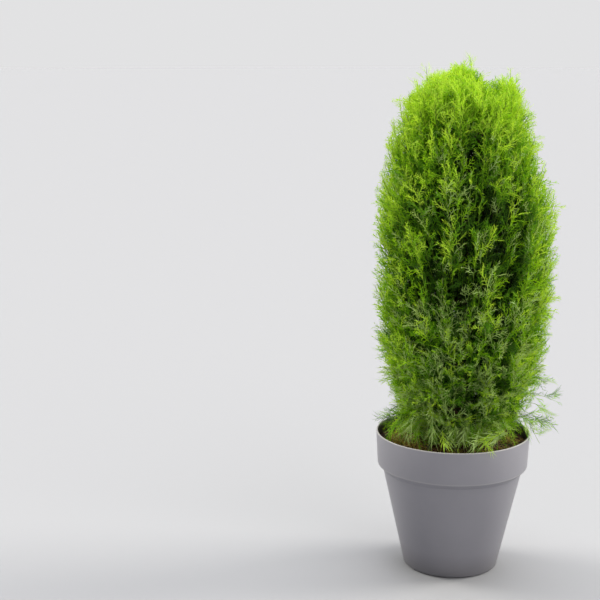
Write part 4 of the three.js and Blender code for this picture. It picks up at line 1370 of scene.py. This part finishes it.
class OBJECT_OT_thuja_foliage(bpy.types.Operator):
    """Grow the stems, twigs and sprays of the crown by the frame's own rule"""

    bl_idname = "object.thuja_foliage"
    bl_label = "Foliage"

    def execute(self, context):
        settings = context.scene.thuja_foliage
        stems, curves, free, pull = crown_curves(settings)
        self.join_twigs(stems, curves, free)
        self.join_sprays(settings, curves, free, pull)
        return {"FINISHED"}

    def join_twigs(self, stems, curves, free):
        """Brown stems and twigs inside, which turn to green shoots further out; lone shoots are thinner."""
        turning = curves.shape[1] // 2
        stem_radii = np.linspace(STEM_RADIUS, STEM_RADIUS * (1 - STEM_TAPER), stems.shape[1])
        twig_radii = np.where(free, 0.6, 1.0)[:, None] * np.linspace(*TWIG_RADII, curves.shape[1])
        inside, outside = np.s_[:, : turning + 1], np.s_[:, turning:]
        brown = made_material("twig_bark", young_bark, linear("#48341F"))
        green = made_material("shoot_rind", scale_foliage, linear("#6E8C2C"), linear("#8AA632"), 0.2)
        stem_tubes = tubes(stems, np.broadcast_to(stem_radii, stems.shape[:2]), STEM_SIDES)
        twig_tubes = tubes(curves[inside], twig_radii[inside], TWIG_SIDES)
        dress("twigs", joined_mesh([stem_tubes, twig_tubes]), brown, "bark")
        shoot_tubes = tubes(curves[outside], twig_radii[outside], TWIG_SIDES)
        dress("green_shoots", joined_mesh([shoot_tubes]), green, "foliage")

    def join_sprays(self, settings, curves, free, pull):
        rng = np.random.default_rng(6)
        forms = {name: kind["forms"] for name, kind in SPRAY_KINDS.items()}
        patterns = [spray_pattern(rng, SPRAY_KINDS[name]) for name in forms for _ in range(forms[name])]
        longest = settings.spray_length / MILLIMETRE
        places = held_to_outline(grown_sprays(curves, free, pull, settings.sprays, longest, rng), rng)
        # Over the compost on the left they stand thinner, so that it shows.
        x, _, height = places["origin"].T
        kept = np.where((x < -84) & (height < 300), KEPT_ON_LEFT, KEPT_SPRAYS)
        keep = ~places["free"] | (rng.uniform(size=len(kept)) < kept)
        # Deep inside, where little light comes, the twigs are bare.
        lit = places["free"] | (crown_share(places["origin"]) > np.interp(height, *BARE_INSIDE))
        places = picked(places, keep & lit & clear_of_pot(places))
        tints = tint_numbers(places, rng)
        single, single_tints = front_sprays()
        places = {key: np.concatenate((value, single[key])) for key, value in places.items()}
        tints = np.concatenate((tints, single_tints))
        count = len(tints)
        slender_first = forms["crown"] + forms["shade"]
        kinds = rng.integers(0, forms["crown"], count)
        kinds = np.where(tints == 0, rng.integers(forms["crown"], slender_first, count), kinds)
        kinds = np.where(places["free"], rng.integers(slender_first, len(patterns), count), kinds)
        fans = np.arange(len(single_tints)) % forms["fan"]
        kinds[-len(single_tints) :] = slender_first + forms["slender"] + fans
        masses = [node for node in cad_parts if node.startswith("foliage_")]
        for number, (name, colour, glow) in enumerate(TINTS):
            parts = []
            for kind, pattern in enumerate(patterns):
                parts.append(laid_sprays(pattern, picked(places, (tints == number) & (kinds == kind))))
            gloss = OLD_GLOSS if name == "foliage_old" else LEAF_GLOSS
            colours = linear(colour), linear(glow)
            material = made_material(name, scale_foliage, *colours, settings.glow, gloss)
            dress(name, joined_mesh(parts), material, "foliage", *masses[number :: len(TINTS)])


class OBJECT_OT_thuja_stage(bpy.types.Operator):
    """Set up the plain floor, the soft light and the camera"""

    bl_idname = "object.thuja_stage"
    bl_label = "Floor, light and camera"

    def execute(self, context):
        settings = context.scene.thuja_stage
        self.lay_floor(settings)
        self.light(context.scene, settings)
        self.aim_camera(context.scene)
        return {"FINISHED"}

    def lay_floor(self, settings):
        bm = bmesh.new()
        bmesh.ops.create_circle(bm, cap_ends=True, segments=96, radius=40.0)
        paint = made_material("floor_paint", matt_paint, settings.floor)
        mesh_object("floor", finished_mesh(bm, smooth=False), paint)

    def light(self, scene, settings):
        scene.world = bpy.data.worlds.new("soft_sky")
        scene.world.use_nodes = True
        tree = scene.world.node_tree
        tree.nodes.clear()
        # The sky pales towards the horizon, where it meets the floor.
        way = add_node(tree, "TexCoord").outputs["Generated"]
        rise = add_node(tree, "SeparateXYZ", {"Vector": way}).outputs["Z"]
        strengths = {"To Min": settings.horizon_strength, "To Max": settings.sky_strength}
        haze = add_node(tree, "MapRange", {"Value": rise, "From Min": 0.04, "From Max": 0.16, **strengths})
        sky = add_node(tree, "Background", {"Color": linear("#F4F4F5"), "Strength": haze})
        add_node(tree, "OutputWorld", {"Surface": sky})
        scene.view_settings.view_transform = "Standard"
        for name, azimuth, elevation, softness, strength, colour in LAMPS:
            lamp = bpy.data.lights.new(name, "SUN")
            lamp.angle = math.radians(softness)
            lamp.energy = strength
            lamp.color = linear(colour)
            obj = bpy.data.objects.new(name, lamp)
            level = math.cos(math.radians(elevation))
            out = Vector((*(level * aside(math.radians(azimuth))[:2]), math.sin(math.radians(elevation))))
            obj.location = 4 * out
            obj.rotation_euler = (-out).to_track_quat("-Z", "Y").to_euler()
            scene.collection.objects.link(obj)

    def aim_camera(self, scene):
        lens = bpy.data.cameras.new("camera")
        lens.sensor_width = 36.0
        lens.lens = 79.74
        lens.clip_end = 60.0
        obj = bpy.data.objects.new("camera", lens)
        obj.location = (-0.3004, -2.5139, 1.0369)
        obj.rotation_euler = (math.radians(90 - 11.3306), 0.0, 0.0)
        scene.collection.objects.link(obj)
        scene.camera = obj


class VIEW3D_PT_thuja(bpy.types.Panel):
    """The potted thuja's pieces and settings"""

    bl_idname = "VIEW3D_PT_thuja"
    bl_label = "Potted thuja"
    bl_space_type = "VIEW_3D"
    bl_region_type = "UI"
    bl_category = "Potted thuja"

    def draw(self, context):
        for operator, name, _ in STEPS:
            box = self.layout.box()
            box.operator(operator.bl_idname)
            settings = getattr(context.scene, name)
            for setting in settings.__annotations__:
                box.prop(settings, setting)


STEPS = (
    (OBJECT_OT_thuja_pot, "thuja_pot", ThujaPotSettings),
    (OBJECT_OT_thuja_compost, "thuja_compost", ThujaCompostSettings),
    (OBJECT_OT_thuja_limbs, "thuja_limbs", ThujaLimbSettings),
    (OBJECT_OT_thuja_foliage, "thuja_foliage", ThujaFoliageSettings),
    (OBJECT_OT_thuja_stage, "thuja_stage", ThujaStageSettings),
)


def register():
    for operator, name, group in STEPS:
        bpy.utils.register_class(group)
        setattr(bpy.types.Scene, name, bpy.props.PointerProperty(type=group))
        bpy.utils.register_class(operator)
    bpy.utils.register_class(VIEW3D_PT_thuja)


def unregister():
    bpy.utils.unregister_class(VIEW3D_PT_thuja)
    for operator, name, group in reversed(STEPS):
        bpy.utils.unregister_class(operator)
        delattr(bpy.types.Scene, name)
        bpy.utils.unregister_class(group)


def main():
    """Build every piece in order."""
    register()
    bpy.ops.object.thuja_pot()
    bpy.ops.object.thuja_compost()
    bpy.ops.object.thuja_limbs()
    bpy.ops.object.thuja_foliage()
    bpy.ops.object.thuja_stage()


if __name__ == "__main__":
    main()
